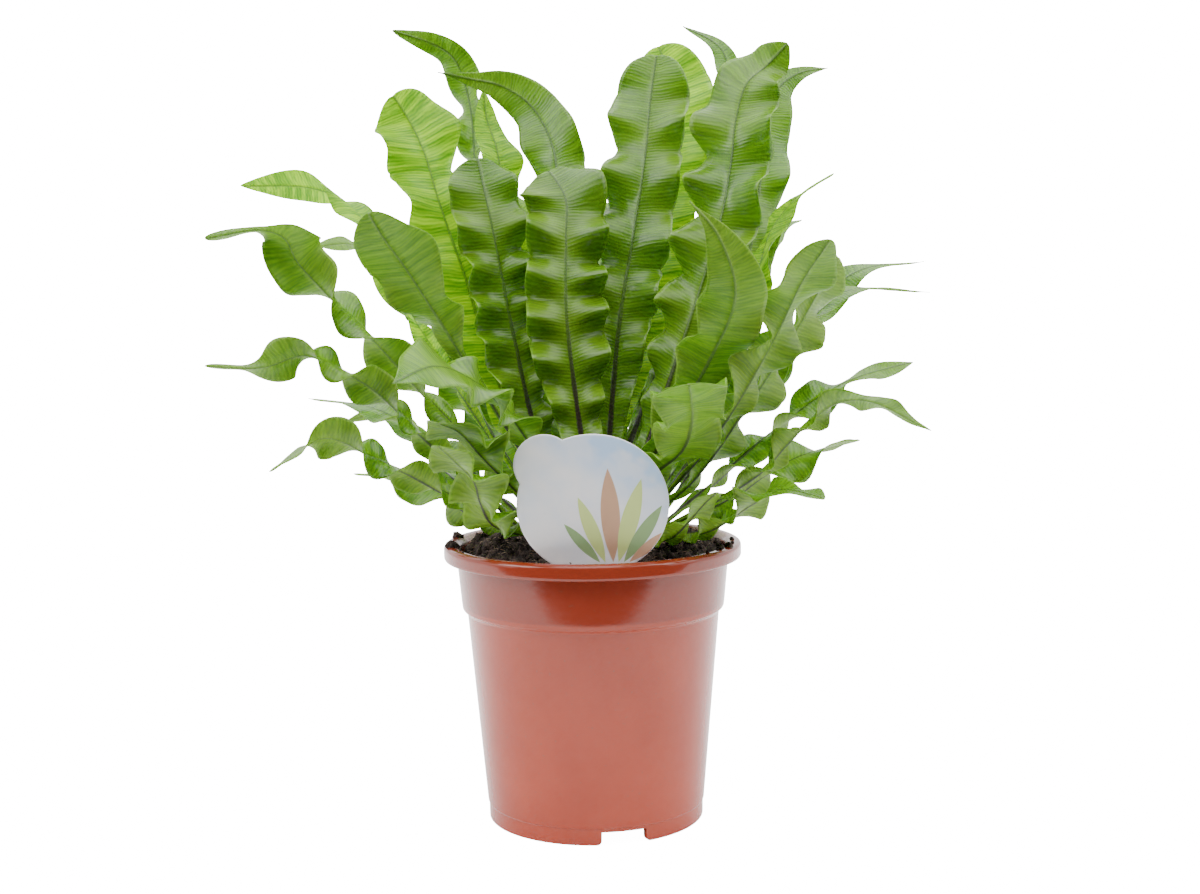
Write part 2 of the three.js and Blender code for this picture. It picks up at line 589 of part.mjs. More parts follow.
function frondGeometry(row) {
  const stations = frondStations(row);
  const last = stations.length - 1;
  const positions = [];
  for (const facing of [1, -1]) {
    stations.forEach(({ share, columns, across }, index) => {
      columns.forEach((here, column) => {
        const before = stations[Math.max(index - 1, 0)].columns[column];
        const after = stations[Math.min(index + 1, last)].columns[column];
        const outward = column === 1
          ? across
          : new THREE.Vector3().subVectors(here, columns[1]).multiplyScalar(column - 1);
        const ends = [index ? before : here.clone().sub(after).add(here),
          index < last ? after : here.clone().sub(before).add(here)];
        const normal = offsetNormal(ends[0], here, ends[1], outward.clone().normalize());
        const rib = THREE.MathUtils.lerp(ribBase, ribTip, Math.min(share * ribShrink, 1));
        const depth = column === 1 ? rib : bladeThickness / 2;
        positions.push(...here.clone().addScaledVector(normal, facing * depth).toArray());
      });
    });
  }

  // Both faces are split alike; the lower one is wound the other way.
  const count = stations.length * 3;
  const index = [];
  const quad = (a, b, c, d) => index.push(a, b, c, a, c, d);
  for (let left = 0; left < count - 3; left += 3) {
    for (const column of [0, 1]) {
      const a = left + column;
      const [b, c, d] = [a + 3, a + 4, a + 1];
      index.push(a, b, c, a, c, d);
      index.push(count + a, count + c, count + b, count + a, count + d, count + c);
    }
    quad(left, count + left, count + left + 3, left + 3);
    quad(left + 2, left + 5, count + left + 5, count + left + 2);
  }
  const tip = count - 3;
  quad(0, 1, count + 1, count);
  quad(1, 2, count + 2, count + 1);
  quad(tip, count + tip, count + tip + 1, tip + 1);
  quad(tip + 1, count + tip + 1, count + tip + 2, tip + 2);

  const geometry = new THREE.BufferGeometry();
  geometry.setAttribute("position", new THREE.Float32BufferAttribute(positions, 3));
  geometry.setIndex(index);
  return geometry;
}

// The potted plant

const fern = new THREE.Group();
fern.name = "potted_fern";
fern.add(piece("pot", potGeometry(), plastic(0xb0583f, 0.25)));
fern.add(piece("soil", soilGeometry(), plastic(0x3a2c22, 0.95)));
fern.add(piece("crown", crownGeometry(rows), plastic(0x33281a, 0.9)));
fern.add(piece("care_tag", tagGeometry(0), plastic(0xe8e8ea, 0.4)));
for (const row of rows) {
  fern.add(piece(row.name, frondGeometry(row), plastic(0x6fae2c, 0.35)));
}

export default fern;
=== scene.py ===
import bmesh
import bpy
import numpy as np
from mathutils import Matrix, Vector


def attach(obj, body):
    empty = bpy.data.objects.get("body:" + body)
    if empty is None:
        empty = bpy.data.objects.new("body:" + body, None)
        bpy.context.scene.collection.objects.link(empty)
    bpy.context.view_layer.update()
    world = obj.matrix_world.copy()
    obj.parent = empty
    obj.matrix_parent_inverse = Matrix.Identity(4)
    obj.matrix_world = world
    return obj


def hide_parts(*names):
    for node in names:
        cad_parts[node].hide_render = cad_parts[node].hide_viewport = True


# A crispy wave bird's nest fern in a 12 cm plastic nursery pot. Measures are in millimetres
# on the drawing and become metres in the mesh; +Z is up and the front is at -Y.

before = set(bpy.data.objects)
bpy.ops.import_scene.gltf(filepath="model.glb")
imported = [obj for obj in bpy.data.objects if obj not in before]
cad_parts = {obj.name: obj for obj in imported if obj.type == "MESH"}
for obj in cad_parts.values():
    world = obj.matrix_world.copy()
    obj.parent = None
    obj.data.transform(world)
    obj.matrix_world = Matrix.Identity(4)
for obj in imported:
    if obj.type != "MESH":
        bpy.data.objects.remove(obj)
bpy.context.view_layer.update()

# The nursery pot: injection-moulded polypropylene about 1.4 mm thick, in terracotta brown.
# A hollow rolled rim stiffens its mouth, a ridge parts the collar from the tapered body, and
# the raised floor with six drain holes stands on a foot ring with three water notches.

POT_PROFILE = np.array([
    # radius, height, radius of the rounded corner
    (41.3, 6.4, 0.3), (41.3, 0, 0.4), (43.7, 0, 0.5), (43.8, 6.6, 0.3), (44.2, 6.9, 0.3),
    (51, 84.8, 0.9), (52.9, 86.3, 0.7), (53.2, 88.6, 0.8), (54.8, 106, 0.5),
    (55.1, 110.6, 0.5), (58.7, 110.6, 0.5), (58.3, 106.4, 0.3), (59.5, 106.3, 0.5),
    (60, 107.2, 0.5), (60, 111.6, 1.2), (58.4, 112.6, 1.2), (55.5, 112.4, 1.2),
    (53.8, 110.6, 1.2), (53.4, 106.3, 1), (51.5, 87.6, 1), (49.6, 84, 1),
    (42.8, 9.8, 1), (41.4, 8.2, 0.6),
])
NOTCH_ANGLES = (-75.3, 44.7, 164.7)
NOTCH_HALF, NOTCH_HEIGHT, NOTCH_FLARE = 9.0, 5.2, 2.0
FOOT_RADIUS, FOOT_TOP = 43.7, 6.4
FLOOR_RADIUS, FLOOR_TOP, FLOOR_THICKNESS = 41.8, 8.2, 1.6
DRAIN_HOLES, DRAIN_CIRCLE, DRAIN_RADIUS = 6, 27.0, 4.5
WEDGE_RAYS, WEDGE_RINGS = 72, 5
MM = 0.001


def grid_faces(rows, columns, wrap_rows=False, wrap_columns=False):
    """Quads between neighbouring points of a grid that is numbered row by row; a wrapped
    side joins its last points to its first."""
    index = np.arange(rows * columns).reshape(rows, columns)
    if wrap_rows:
        index = np.vstack([index, index[:1]])
    if wrap_columns:
        index = np.hstack([index, index[:, :1]])
    corners = [index[:-1, :-1], index[:-1, 1:], index[1:, 1:], index[1:, :-1]]
    return np.stack(corners, axis=-1).reshape(-1, 4)


def add_piece(name, points, faces, materials, face_material=None, uv=None):
    """A smooth-shaded mesh object at the origin. Points are in millimetres; uv gives a pair
    for each point; face_material gives each face's place in the list of materials."""
    mesh = bpy.data.meshes.new(name)
    mesh.from_pydata((points.reshape(-1, 3) * MM).tolist(), [], faces.tolist())
    mesh.polygons.foreach_set("use_smooth", np.ones(len(mesh.polygons), dtype=bool))
    for material in materials:
        mesh.materials.append(material)
    if face_material is not None:
        mesh.polygons.foreach_set("material_index", face_material)
    if uv is not None:
        corner = np.empty(len(mesh.loops), dtype=np.int32)
        mesh.loops.foreach_get("vertex_index", corner)
        layer = mesh.uv_layers.new(name="surface")
        layer.uv.foreach_set("vector", uv.reshape(-1, 2)[corner].astype(np.float32).ravel())
    mesh.update()
    piece = bpy.data.objects.new(name, mesh)
    bpy.context.scene.collection.objects.link(piece)
    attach(piece, "root")
    return piece


def rounded(profile, steps=6):
    """A closed outline with each corner replaced by a quadratic curve: it starts and ends on
    the two sides, the corner's radius away, and the corner itself is its control point."""
    corner, radius = profile[:, :2], profile[:, 2:]
    before, after = np.roll(corner, 1, axis=0) - corner, np.roll(corner, -1, axis=0) - corner
    lengths = [np.linalg.norm(side, axis=1, keepdims=True) for side in (before, after)]
    start = corner + before * np.minimum(radius / lengths[0], 0.45)
    end = corner + after * np.minimum(radius / lengths[1], 0.45)
    t = np.linspace(0, 1, steps)[None, :, None]
    curve = (1 - t) ** 2 * start[:, None] + 2 * t * (1 - t) * corner[:, None] + t ** 2 * end[:, None]
    return curve.reshape(-1, 2)


def pot_wall():
    """The rounded profile turned about the axis. Under the floor its height z becomes
    n + z (1 - n / f), where f is the foot's top and n the notch's height at that angle: full
    inside a notch, a quarter circle down to nothing beside it."""
    beside = np.array([-2, -1.6, -1.1, -0.6, -0.25, -0.04, 0.04, 0.5])
    edges = np.concatenate([-NOTCH_HALF + beside, NOTCH_HALF - beside]) / FOOT_RADIUS
    notches = np.radians(NOTCH_ANGLES)
    angle = np.concatenate([np.linspace(0, 2 * np.pi, 192, endpoint=False),
                            (notches[:, None] + edges).ravel() % (2 * np.pi)])
    angle = np.unique(angle.round(5))
    turn = (angle[:, None] - notches + np.pi) % (2 * np.pi) - np.pi
    aside = np.abs(turn).min(axis=1) * FOOT_RADIUS
    out = np.clip(NOTCH_HALF + NOTCH_FLARE - aside, 0, NOTCH_FLARE)
    flare = NOTCH_FLARE - np.sqrt(NOTCH_FLARE ** 2 - out ** 2)
    notch = np.where(aside < NOTCH_HALF, NOTCH_HEIGHT, flare)[:, None]
    radius, height = rounded(POT_PROFILE).T
    height = np.where(height < FOOT_TOP, notch + height * (1 - notch / FOOT_TOP), height)
    radius = np.broadcast_to(radius, height.shape)
    points = np.stack([radius * np.cos(angle)[:, None], radius * np.sin(angle)[:, None], height], -1)
    return points, grid_faces(*height.shape, wrap_rows=True, wrap_columns=True)


def pot_floor():
    """Six wedges, one for each drain hole. In a wedge the points lie on rays from the hole's
    centre, from the hole's edge to where the ray meets the wedge's sides or the outer arc."""
    ray = np.linspace(0, 2 * np.pi, WEDGE_RAYS, endpoint=False)
    dx, dy = np.cos(ray), np.sin(ray)
    half = np.pi / DRAIN_HOLES
    reach = [np.full(WEDGE_RAYS, 1e3)]
    for side in (-1, 1):
        # distance to the line through the axis at the angle side * half
        facing = -np.sin(side * half) * dx + np.cos(side * half) * dy
        away = DRAIN_CIRCLE * np.sin(side * half)
        reach.append(np.where(facing * side > 1e-6, away / np.where(facing == 0, 1, facing), 1e3))
    reach.append(-DRAIN_CIRCLE * dx + np.sqrt(FLOOR_RADIUS ** 2 - (DRAIN_CIRCLE * dy) ** 2))
    outer = np.min(reach, axis=0)
    share = np.linspace(0, 1, WEDGE_RINGS)[:, None]
    distance = DRAIN_RADIUS + (outer - DRAIN_RADIUS) * share
    x, y = DRAIN_CIRCLE + distance * dx, distance * dy
    turn = np.arange(DRAIN_HOLES)[:, None, None] * 2 * half
    top = np.stack([x * np.cos(turn) - y * np.sin(turn), x * np.sin(turn) + y * np.cos(turn),
                    np.full((DRAIN_HOLES, WEDGE_RINGS, WEDGE_RAYS), FLOOR_TOP)], -1)
    wedge = grid_faces(WEDGE_RINGS, WEDGE_RAYS, wrap_columns=True)
    first = np.arange(DRAIN_HOLES)[:, None, None] * WEDGE_RINGS * WEDGE_RAYS
    return top, (wedge + first).reshape(-1, 4)


def node(tree, kind, inputs=None, **settings):
    """A shader node; an input is given a value or linked to the socket that is passed."""
    made = tree.nodes.new("ShaderNode" + kind)
    for key, value in settings.items():
        setattr(made, key, value)
    for key, value in (inputs or {}).items():
        if isinstance(value, bpy.types.NodeSocket):
            tree.links.new(value, made.inputs[key])
        else:
            made.inputs[key].default_value = value
    return made


def math(tree, operation, first, second=0.0):
    """The result socket of a Math node."""
    return node(tree, "Math", {0: first, 1: second}, operation=operation).outputs[0]


def blend(tree, factor, first, second):
    """The result socket of two colours mixed by a factor."""
    inputs = {"Factor": factor, "A": first, "B": second}
    mix = tree.nodes.new("ShaderNodeMix")
    mix.data_type = "RGBA"
    for key, value in inputs.items():
        kind = "VALUE" if key == "Factor" else "RGBA"
        socket = next(s for s in mix.inputs if s.name == key and s.type == kind)
        if isinstance(value, bpy.types.NodeSocket):
            tree.links.new(value, socket)
        else:
            socket.default_value = value
    return next(s for s in mix.outputs if s.type == "RGBA")


def span(tree, value, low, high, to_low=0.0, to_high=1.0):
    """A value between low and high, mapped smoothly to the new range and held outside it."""
    return node(tree, "MapRange", {"Value": value, 1: low, 2: high, 3: to_low, 4: to_high},
                interpolation_type="SMOOTHSTEP").outputs[0]


def noise(tree, vector, scale, detail, roughness=0.5):
    """The strength of a noise texture, about 0.5 on the whole."""
    return node(tree, "TexNoise", {"Vector": vector, "Scale": scale, "Detail": detail,
                                   "Roughness": roughness}).outputs["Fac"]


def new_material(name):
    """An empty node material; its shader is plugged into the output that comes with it."""
    material = bpy.data.materials.new(name)
    material.use_nodes = True
    tree = material.node_tree
    tree.nodes.clear()
    return material, tree, tree.nodes.new("ShaderNodeOutputMaterial").inputs["Surface"]


def effect_group(name, inputs, outputs):
    """An empty node group with number inputs and the outputs given as (name, kind) pairs."""
    group = bpy.data.node_groups.new(name, "ShaderNodeTree")
    for label, value in inputs.items():
        socket = group.interface.new_socket(name=label, in_out="INPUT", socket_type="NodeSocketFloat")
        socket.default_value = value
    for label, kind in outputs:
        group.interface.new_socket(name=label, in_out="OUTPUT", socket_type="NodeSocket" + kind)
    return group, group.nodes.new("NodeGroupInput").outputs, group.nodes.new("NodeGroupOutput").inputs


def placed(tree, group, **values):
    """A group placed in a material with its own values."""
    made = node(tree, "Group", node_tree=group)
    for label, value in values.items():
        made.inputs[label].default_value = value
    return made.outputs


# Grain: soft blotches and fine specks of the object's own space, shared by the plastics.
grain, given, result = effect_group("grain", {"Size": 0.02, "Speck size": 0.0012},
                                    [("Blotch", "Float"), ("Speck", "Float")])
where = node(grain, "TexCoord").outputs["Object"]
soft = noise(grain, where, math(grain, "DIVIDE", 1.0, given["Size"]), 3.0)
fine = noise(grain, where, math(grain, "DIVIDE", 1.0, given["Speck size"]), 2.0)
grain.links.new(span(grain, soft, 0.35, 0.65), result["Blotch"])
grain.links.new(span(grain, fine, 0.66, 0.74), result["Speck"])

TERRACOTTA = (0.285, 0.031, 0.009, 1)
TERRACOTTA_WORN = (0.315, 0.037, 0.012, 1)
# painted shade: a darker terracotta for the collar and rim above the ridge
TERRACOTTA_SHADED = (0.200, 0.026, 0.011, 1)
PEAT_DUST = (0.50, 0.36, 0.30, 1)
PEAT_SPECK = (0.10, 0.05, 0.03, 1)

pot_plastic, tree, surface = new_material("pot_plastic")
marks = placed(tree, grain, **{"Size": 0.03, "Speck size": 0.0011})
where = node(tree, "TexCoord").outputs["Object"]
place = node(tree, "SeparateXYZ", {0: where}).outputs
out = math(tree, "SQRT", math(tree, "ADD", math(tree, "MULTIPLY", place["X"], place["X"]),
                              math(tree, "MULTIPLY", place["Y"], place["Y"])))
lip = math(tree, "MULTIPLY", span(tree, place["Z"], 0.1085, 0.1105), span(tree, out, 0.0572, 0.0552))
dust = math(tree, "MULTIPLY", lip, span(tree, noise(tree, where, 90.0, 6.0, 0.65), 0.42, 0.62))
colour = blend(tree, marks["Blotch"], TERRACOTTA, TERRACOTTA_WORN)
# Painted shade: everything above the ridge, collar and rim, is painted darker for the shade of the rim's
# overhang and the fronds above.
collar_shade = span(tree, place["Z"], 0.0876, 0.0886, 0.0, 0.85)
colour = blend(tree, collar_shade, colour, TERRACOTTA_SHADED)
colour = blend(tree, dust, colour, PEAT_DUST)
colour = blend(tree, math(tree, "MULTIPLY", marks["Speck"], 0.35), colour, PEAT_SPECK)
rough = math(tree, "ADD", math(tree, "MULTIPLY", marks["Blotch"], 0.05),
             math(tree, "ADD", 0.13, math(tree, "MULTIPLY", dust, 0.5)))
bump = node(tree, "Bump", {"Height": noise(tree, where, 420.0, 2.0), "Strength": 0.12,
                           "Distance": 0.0004}).outputs["Normal"]
tree.links.new(node(tree, "BsdfPrincipled", {
    "Base Color": colour, "Roughness": rough, "Normal": bump, "IOR": 1.4,
    "Coat Weight": 0.2, "Coat Roughness": 0.05}).outputs[0], surface)

pot_shell = add_piece("pot_shell", *pot_wall(), [pot_plastic])
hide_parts("pot")

pot_base = add_piece("pot_base", *pot_floor(), [pot_plastic])
work = bmesh.new()
work.from_mesh(pot_base.data)
bmesh.ops.remove_doubles(work, verts=work.verts, dist=0.01 * MM)
bmesh.ops.recalc_face_normals(work, faces=work.faces)
work.to_mesh(pot_base.data)
work.free()
plate = pot_base.modifiers.new("thickness", "SOLIDIFY")
plate.thickness = FLOOR_THICKNESS * MM
plate.offset = -1
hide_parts("pot")

# The peat: dark fibrous potting soil that fills the pot, mounded towards the crown. Crumbs
# and short pale root and peat fibres lie on it, and a few crumbs were spilt on the rim.

PEAT_EDGE, PEAT_EDGE_HEIGHT = 53.0, 105.2
PEAT_INNER, PEAT_INNER_HEIGHT = 25.0, 111.3
PEAT_BANK, PEAT_BANK_RADIUS, PEAT_BANK_WIDTH = 5.4, 43.0, 8.0
PEAT_SURROUND, PEAT_RINGS = 300, 110
CRUMBS, CRUMB_SMALLEST, CRUMB_GROWTH = 1800, 0.4, 2.3
FIBRES, FIBRE_LENGTH, FIBRE_RADIUS = 420, (4, 13), (0.09, 0.22)
LITTER_INNER, LITTER_OUTER = 22.0, 51.5
SPILT_LEFT, SPILT_RIGHT, SPILT_ROUND = 15, 12, 7
RIM_INNER, RIM_OUTER, RIM_TOP = 55.6, 58.0, 112.75
rng = np.random.default_rng(12)


def ripples(x, y, seed, length, octaves=4):
    """Sum of waves that run in random directions, twelve to an octave; each octave's waves
    are half as long and half as high as the last one's. Mostly within -1 to 1."""
    draw = np.random.default_rng(seed)
    total = np.zeros_like(x, dtype=float)
    for octave in range(octaves):
        angle, shift = draw.uniform(0, 2 * np.pi, (2, 12))
        pace = 2 * np.pi / length * 2 ** octave * draw.uniform(0.7, 1.3, 12)
        along = x[..., None] * np.cos(angle) + y[..., None] * np.sin(angle)
        total += np.sin(along * pace + shift).mean(axis=-1) * 2 * 0.5 ** octave
    return total


def peat_height(x, y):
    """A mound that falls as the square of the way from the crown to the pot's wall, a bank
    heaped up at the left and right, and lumps of many sizes that die away at the wall."""
    radius = np.hypot(x, y)
    share = np.clip((radius - PEAT_INNER) / (PEAT_EDGE - PEAT_INNER), 0, 1)
    mound = PEAT_INNER_HEIGHT + (PEAT_EDGE_HEIGHT - PEAT_INNER_HEIGHT) * share ** 2
    from_bank = (radius - PEAT_BANK_RADIUS) / PEAT_BANK_WIDTH
    mound = mound + PEAT_BANK * np.exp(-from_bank ** 2) * (x / radius) ** 2
    lumps = 1.6 * ripples(x, y, 5, 17) + 0.8 * ripples(x, y, 6, 4.4, 3)
    return mound + lumps * (1 - 0.6 * share ** 6)


def peat_plug():
    """A polar grid: its top follows the mound out to the wall, and its side and underside
    follow the inside of the pot down to the floor and back to the axis."""
    angle = np.linspace(0, 2 * np.pi, PEAT_SURROUND, endpoint=False)
    radius = np.concatenate([np.linspace(0.2, PEAT_EDGE, PEAT_RINGS),
                             [52.9, 51.1, 49.2, 42.5, 40.9, 0.2]])
    x, y = radius * np.cos(angle)[:, None], radius * np.sin(angle)[:, None]
    height = peat_height(x, y)
    height[:, PEAT_RINGS:] = [104.5, 88.4, 83.8, 10.4, 8.4, 8.4]
    return np.stack([x, y, height], -1), grid_faces(*height.shape, wrap_rows=True)[:, ::-1]


def close_poles(piece):
    """Puts a face over each hole that a polar grid leaves at the axis."""
    work = bmesh.new()
    work.from_mesh(piece.data)
    bmesh.ops.holes_fill(work, edges=[edge for edge in work.edges if edge.is_boundary], sides=0)
    work.to_mesh(piece.data)
    work.free()


def random_turns(count, draw):
    """Random rotation matrices, each from a random unit quaternion."""
    quaternion = draw.normal(size=(4, count))
    w, x, y, z = quaternion / np.linalg.norm(quaternion, axis=0)
    return np.stack([
        np.stack([1 - 2 * (y * y + z * z), 2 * (x * y - w * z), 2 * (x * z + w * y)], -1),
        np.stack([2 * (x * y + w * z), 1 - 2 * (x * x + z * z), 2 * (y * z - w * x)], -1),
        np.stack([2 * (x * z - w * y), 2 * (y * z + w * x), 1 - 2 * (x * x + y * y)], -1)], -2)


def scattered(shapes, faces, places):
    """Many small shapes as one: each shape's points are moved to its place, and the faces of
    one shape are numbered on for the next."""
    count, size = shapes.shape[:2]
    return (shapes + places[:, None]).reshape(-1, 3), (
        faces[None] + np.arange(count)[:, None, None] * size).reshape(-1, faces.shape[1])


def crumbs(places, draw):
    """Lumps: a coarse sphere of five rings, its points pushed in or out at random, squeezed
    along three axes and turned at random. Most are small; their sizes fall off steeply."""
    polar = np.linspace(0.12, np.pi - 0.12, 5)[:, None]
    around = np.linspace(0, 2 * np.pi, 6, endpoint=False)
    ball = np.stack([np.sin(polar) * np.cos(around), np.sin(polar) * np.sin(around),
                     np.cos(polar) + 0 * around], -1).reshape(-1, 3)
    count = len(places)
    size = CRUMB_SMALLEST + CRUMB_GROWTH * draw.uniform(size=count) ** 4
    squeeze = draw.uniform(0.6, 1.25, (count, 1, 3)) * size[:, None, None]
    knobbly = ball * draw.uniform(0.75, 1.2, (count, len(ball), 1)) * squeeze
    faces = grid_faces(5, 6, wrap_columns=True)[:, ::-1]
    caps = np.array([[0, 1, 2, 3], [0, 3, 4, 5], [27, 26, 25, 24], [29, 28, 27, 24]])
    turned = np.einsum("nij,nkj->nki", random_turns(count, draw), knobbly)
    return scattered(turned, np.vstack([faces, caps]), places)


def fibres(places, draw):
    """Four-sided threads: an arc of random length and bend in the plane of the ground, its
    ends dipping, with a radius that fades towards both ends."""
    count = len(places)
    t = np.linspace(-1, 1, 7)
    heading = draw.uniform(0, 2 * np.pi, (count, 1))
    turn = heading + draw.uniform(-1.1, 1.1, (count, 1)) * t
    length = draw.uniform(*FIBRE_LENGTH, (count, 1))
    dip = draw.uniform(-0.35, 0.35, (count, 1)) - 0.2 * t
    step = np.stack([np.cos(turn), np.sin(turn), dip], -1)
    line = np.cumsum(step, axis=1) * (length / 14)[..., None]
    line -= line[:, 3:4]
    side = np.stack([-np.sin(turn), np.cos(turn), 0 * turn], -1)
    up = np.array([0, 0, 1.0])
    radius = (draw.uniform(*FIBRE_RADIUS, (count, 1)) * (1.05 - t ** 2 * 0.8))[..., None, None]
    around = np.radians([0, 90, 180, 270])[:, None]
    ring = side[..., None, :] * np.cos(around) + up * np.sin(around)
    shapes = (line[..., None, :] + radius * ring).reshape(count, -1, 3)
    caps = np.array([[3, 2, 1, 0], [24, 25, 26, 27]])
    return scattered(shapes, np.vstack([grid_faces(7, 4, wrap_columns=True), caps]), places)


def on_peat(count, draw, lift=0.1):
    """Random places on the mound, evenly over its area, from the crown out to the wall."""
    radius = np.sqrt(draw.uniform(LITTER_INNER ** 2, LITTER_OUTER ** 2, count))
    angle = draw.uniform(0, 2 * np.pi, count)
    x, y = radius * np.cos(angle), radius * np.sin(angle)
    return np.stack([x, y, peat_height(x, y) + lift], -1)


def on_rim(draw):
    """Random places on top of the rim, most of them in two clusters at the front."""
    angle = np.radians(np.concatenate([
        draw.normal(198, 9, SPILT_LEFT), draw.normal(-28, 10, SPILT_RIGHT),
        draw.uniform(0, 360, SPILT_ROUND)]))
    radius = draw.uniform(RIM_INNER, RIM_OUTER, len(angle))
    return np.stack([radius * np.cos(angle), radius * np.sin(angle), 0 * angle + RIM_TOP], -1)


PEAT_DARK = (0.023, 0.017, 0.015, 1)
PEAT_BROWN = (0.092, 0.062, 0.050, 1)
PEAT_PALE = (0.20, 0.125, 0.08, 1)
FIBRE_BROWN = (0.20, 0.12, 0.075, 1)
FIBRE_PALE = (0.42, 0.31, 0.22, 1)

peat_soil, tree, surface = new_material("peat_soil")
where = node(tree, "TexCoord").outputs["Object"]
clumps = noise(tree, where, 260.0, 8.0, 0.7)
threads = node(tree, "TexWave", {"Vector": where, "Scale": 90.0, "Distortion": 22.0, "Detail": 4.0,
                                 "Detail Scale": 2.2}).outputs["Fac"]
colour = blend(tree, span(tree, clumps, 0.38, 0.66), PEAT_DARK, PEAT_BROWN)
colour = blend(tree, math(tree, "MULTIPLY", span(tree, threads, 0.9, 1.0), span(tree, clumps, 0.5, 0.7)),
               colour, PEAT_PALE)
height = math(tree, "ADD", clumps, math(tree, "MULTIPLY", threads, 0.3))
bump = node(tree, "Bump", {"Height": height, "Strength": 0.9, "Distance": 0.0012}).outputs["Normal"]
tree.links.new(node(tree, "BsdfPrincipled", {
    "Base Color": colour, "Roughness": span(tree, clumps, 0.3, 0.7, 0.95, 0.75),
    "Normal": bump, "Specular IOR Level": 0.25}).outputs[0], surface)

peat_fibre, tree, surface = new_material("peat_fibre")
tint = noise(tree, node(tree, "TexCoord").outputs["Object"], 120.0, 3.0)
tree.links.new(node(tree, "BsdfPrincipled", {
    "Base Color": blend(tree, span(tree, tint, 0.35, 0.65), FIBRE_BROWN, FIBRE_PALE),
    "Roughness": 0.8}).outputs[0], surface)

peat = add_piece("peat", *peat_plug(), [peat_soil])
close_poles(peat)
peat_crumbs = add_piece("peat_crumbs", *crumbs(on_peat(CRUMBS, rng), rng), [peat_soil])
rim_crumbs = add_piece("rim_crumbs", *crumbs(on_rim(rng), rng), [peat_soil])
peat_fibres = add_piece("peat_fibres", *fibres(on_peat(FIBRES, rng, lift=0.4), rng), [peat_fibre])
for piece in (peat, peat_crumbs, rim_crumbs, peat_fibres):
    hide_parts("soil")

# The crown: the short rhizome that every frond grows from, a dome just above the peat. It
# is clothed in dark papery scales, which stand up between the stems.

CROWN_RADIUS, CROWN_TOP, CROWN_SHOULDER, CROWN_BOTTOM = 25.0, 118.0, 110.0, 99.0
DOME_SURROUND, DOME_RINGS = 120, 44
SCALES, SCALE_LENGTH, SCALE_HALF_WIDTH, SCALE_HALF_DEPTH = 420, (3.5, 8), (0.5, 1.0), 0.11


def crown_height(radius):
    """A dome that falls with the square of the distance from the axis."""
    return CROWN_TOP - (CROWN_TOP - CROWN_SHOULDER) * (radius / CROWN_RADIUS) ** 2


def crown_dome():
    """A polar grid over the dome, knobbly with the stumps of old stems, down its side and in
    again underneath."""
    angle = np.linspace(0, 2 * np.pi, DOME_SURROUND, endpoint=False)
    radius = np.concatenate([np.linspace(0.2, CROWN_RADIUS, DOME_RINGS), [CROWN_RADIUS - 0.2, 0.2]])
    x, y = radius * np.cos(angle)[:, None], radius * np.sin(angle)[:, None]
    height = crown_height(np.hypot(x, y)) - 0.8 + 0.8 * ripples(x, y, 8, 9, 4)
    height[:, DOME_RINGS:] = CROWN_BOTTOM
    return np.stack([x, y, height], -1), grid_faces(*height.shape, wrap_rows=True)[:, ::-1]


def crown_scales(draw):
    """Narrow pointed scales of four cross lines. A scale rises from the dome, its width
    shrinking with the square root of what is left, and leans outwards by the power 1.5 of
    the way along it; its two faces part by its thickness."""
    radius = CROWN_RADIUS * np.sqrt(draw.uniform(0.01, 1, SCALES))
    angle = draw.uniform(0, 2 * np.pi, SCALES)
    foot = np.stack([radius * np.cos(angle), radius * np.sin(angle), crown_height(radius) - 1.2], -1)
    turn = (angle + draw.normal(0, 0.5, SCALES))[:, None]
    t = np.linspace(0, 1, 4)
    length = draw.uniform(*SCALE_LENGTH, (SCALES, 1))
    lean = (0.3 + 0.9 * radius[:, None] / CROWN_RADIUS) * draw.uniform(0.5, 1.2, (SCALES, 1))
    outward = np.stack([np.cos(turn), np.sin(turn), 0 * turn], -1)
    across = np.stack([-np.sin(turn), np.cos(turn), 0 * turn], -1)
    rise = np.array([0, 0, 1.0])
    height = length * t * (1 - 0.25 * lean * t)
    line = outward * (length * lean * t ** 1.5)[..., None] + rise * height[..., None]
    half = (draw.uniform(*SCALE_HALF_WIDTH, (SCALES, 1)) * np.sqrt(1.04 - t))[..., None]
    depth = SCALE_HALF_DEPTH * outward
    shape = np.stack([line - across * half - depth, line + across * half - depth,
                      line + across * half + depth, line - across * half + depth], axis=2)
    ends = np.array([[3, 2, 1, 0], [12, 13, 14, 15]])
    faces = np.vstack([grid_faces(4, 4, wrap_columns=True), ends])
    return scattered(shape.reshape(SCALES, -1, 3), faces, foot)


SCALE_DARK = (0.018, 0.010, 0.007, 1)
SCALE_BROWN = (0.085, 0.050, 0.028, 1)

crown_skin, tree, surface = new_material("crown_scales")
flecks = noise(tree, node(tree, "TexCoord").outputs["Object"], 320.0, 5.0, 0.6)
bump = node(tree, "Bump", {"Height": flecks, "Strength": 0.7, "Distance": 0.0006}).outputs["Normal"]
tree.links.new(node(tree, "BsdfPrincipled", {
    "Base Color": blend(tree, span(tree, flecks, 0.35, 0.65), SCALE_DARK, SCALE_BROWN),
    "Roughness": span(tree, flecks, 0.3, 0.7, 0.8, 0.5), "Normal": bump}).outputs[0], surface)

dome = add_piece("crown_dome", *crown_dome(), [crown_skin])
close_poles(dome)
scales = add_piece("crown_scales", *crown_scales(rng), [crown_skin])
for piece in (dome, scales):
    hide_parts("crown")
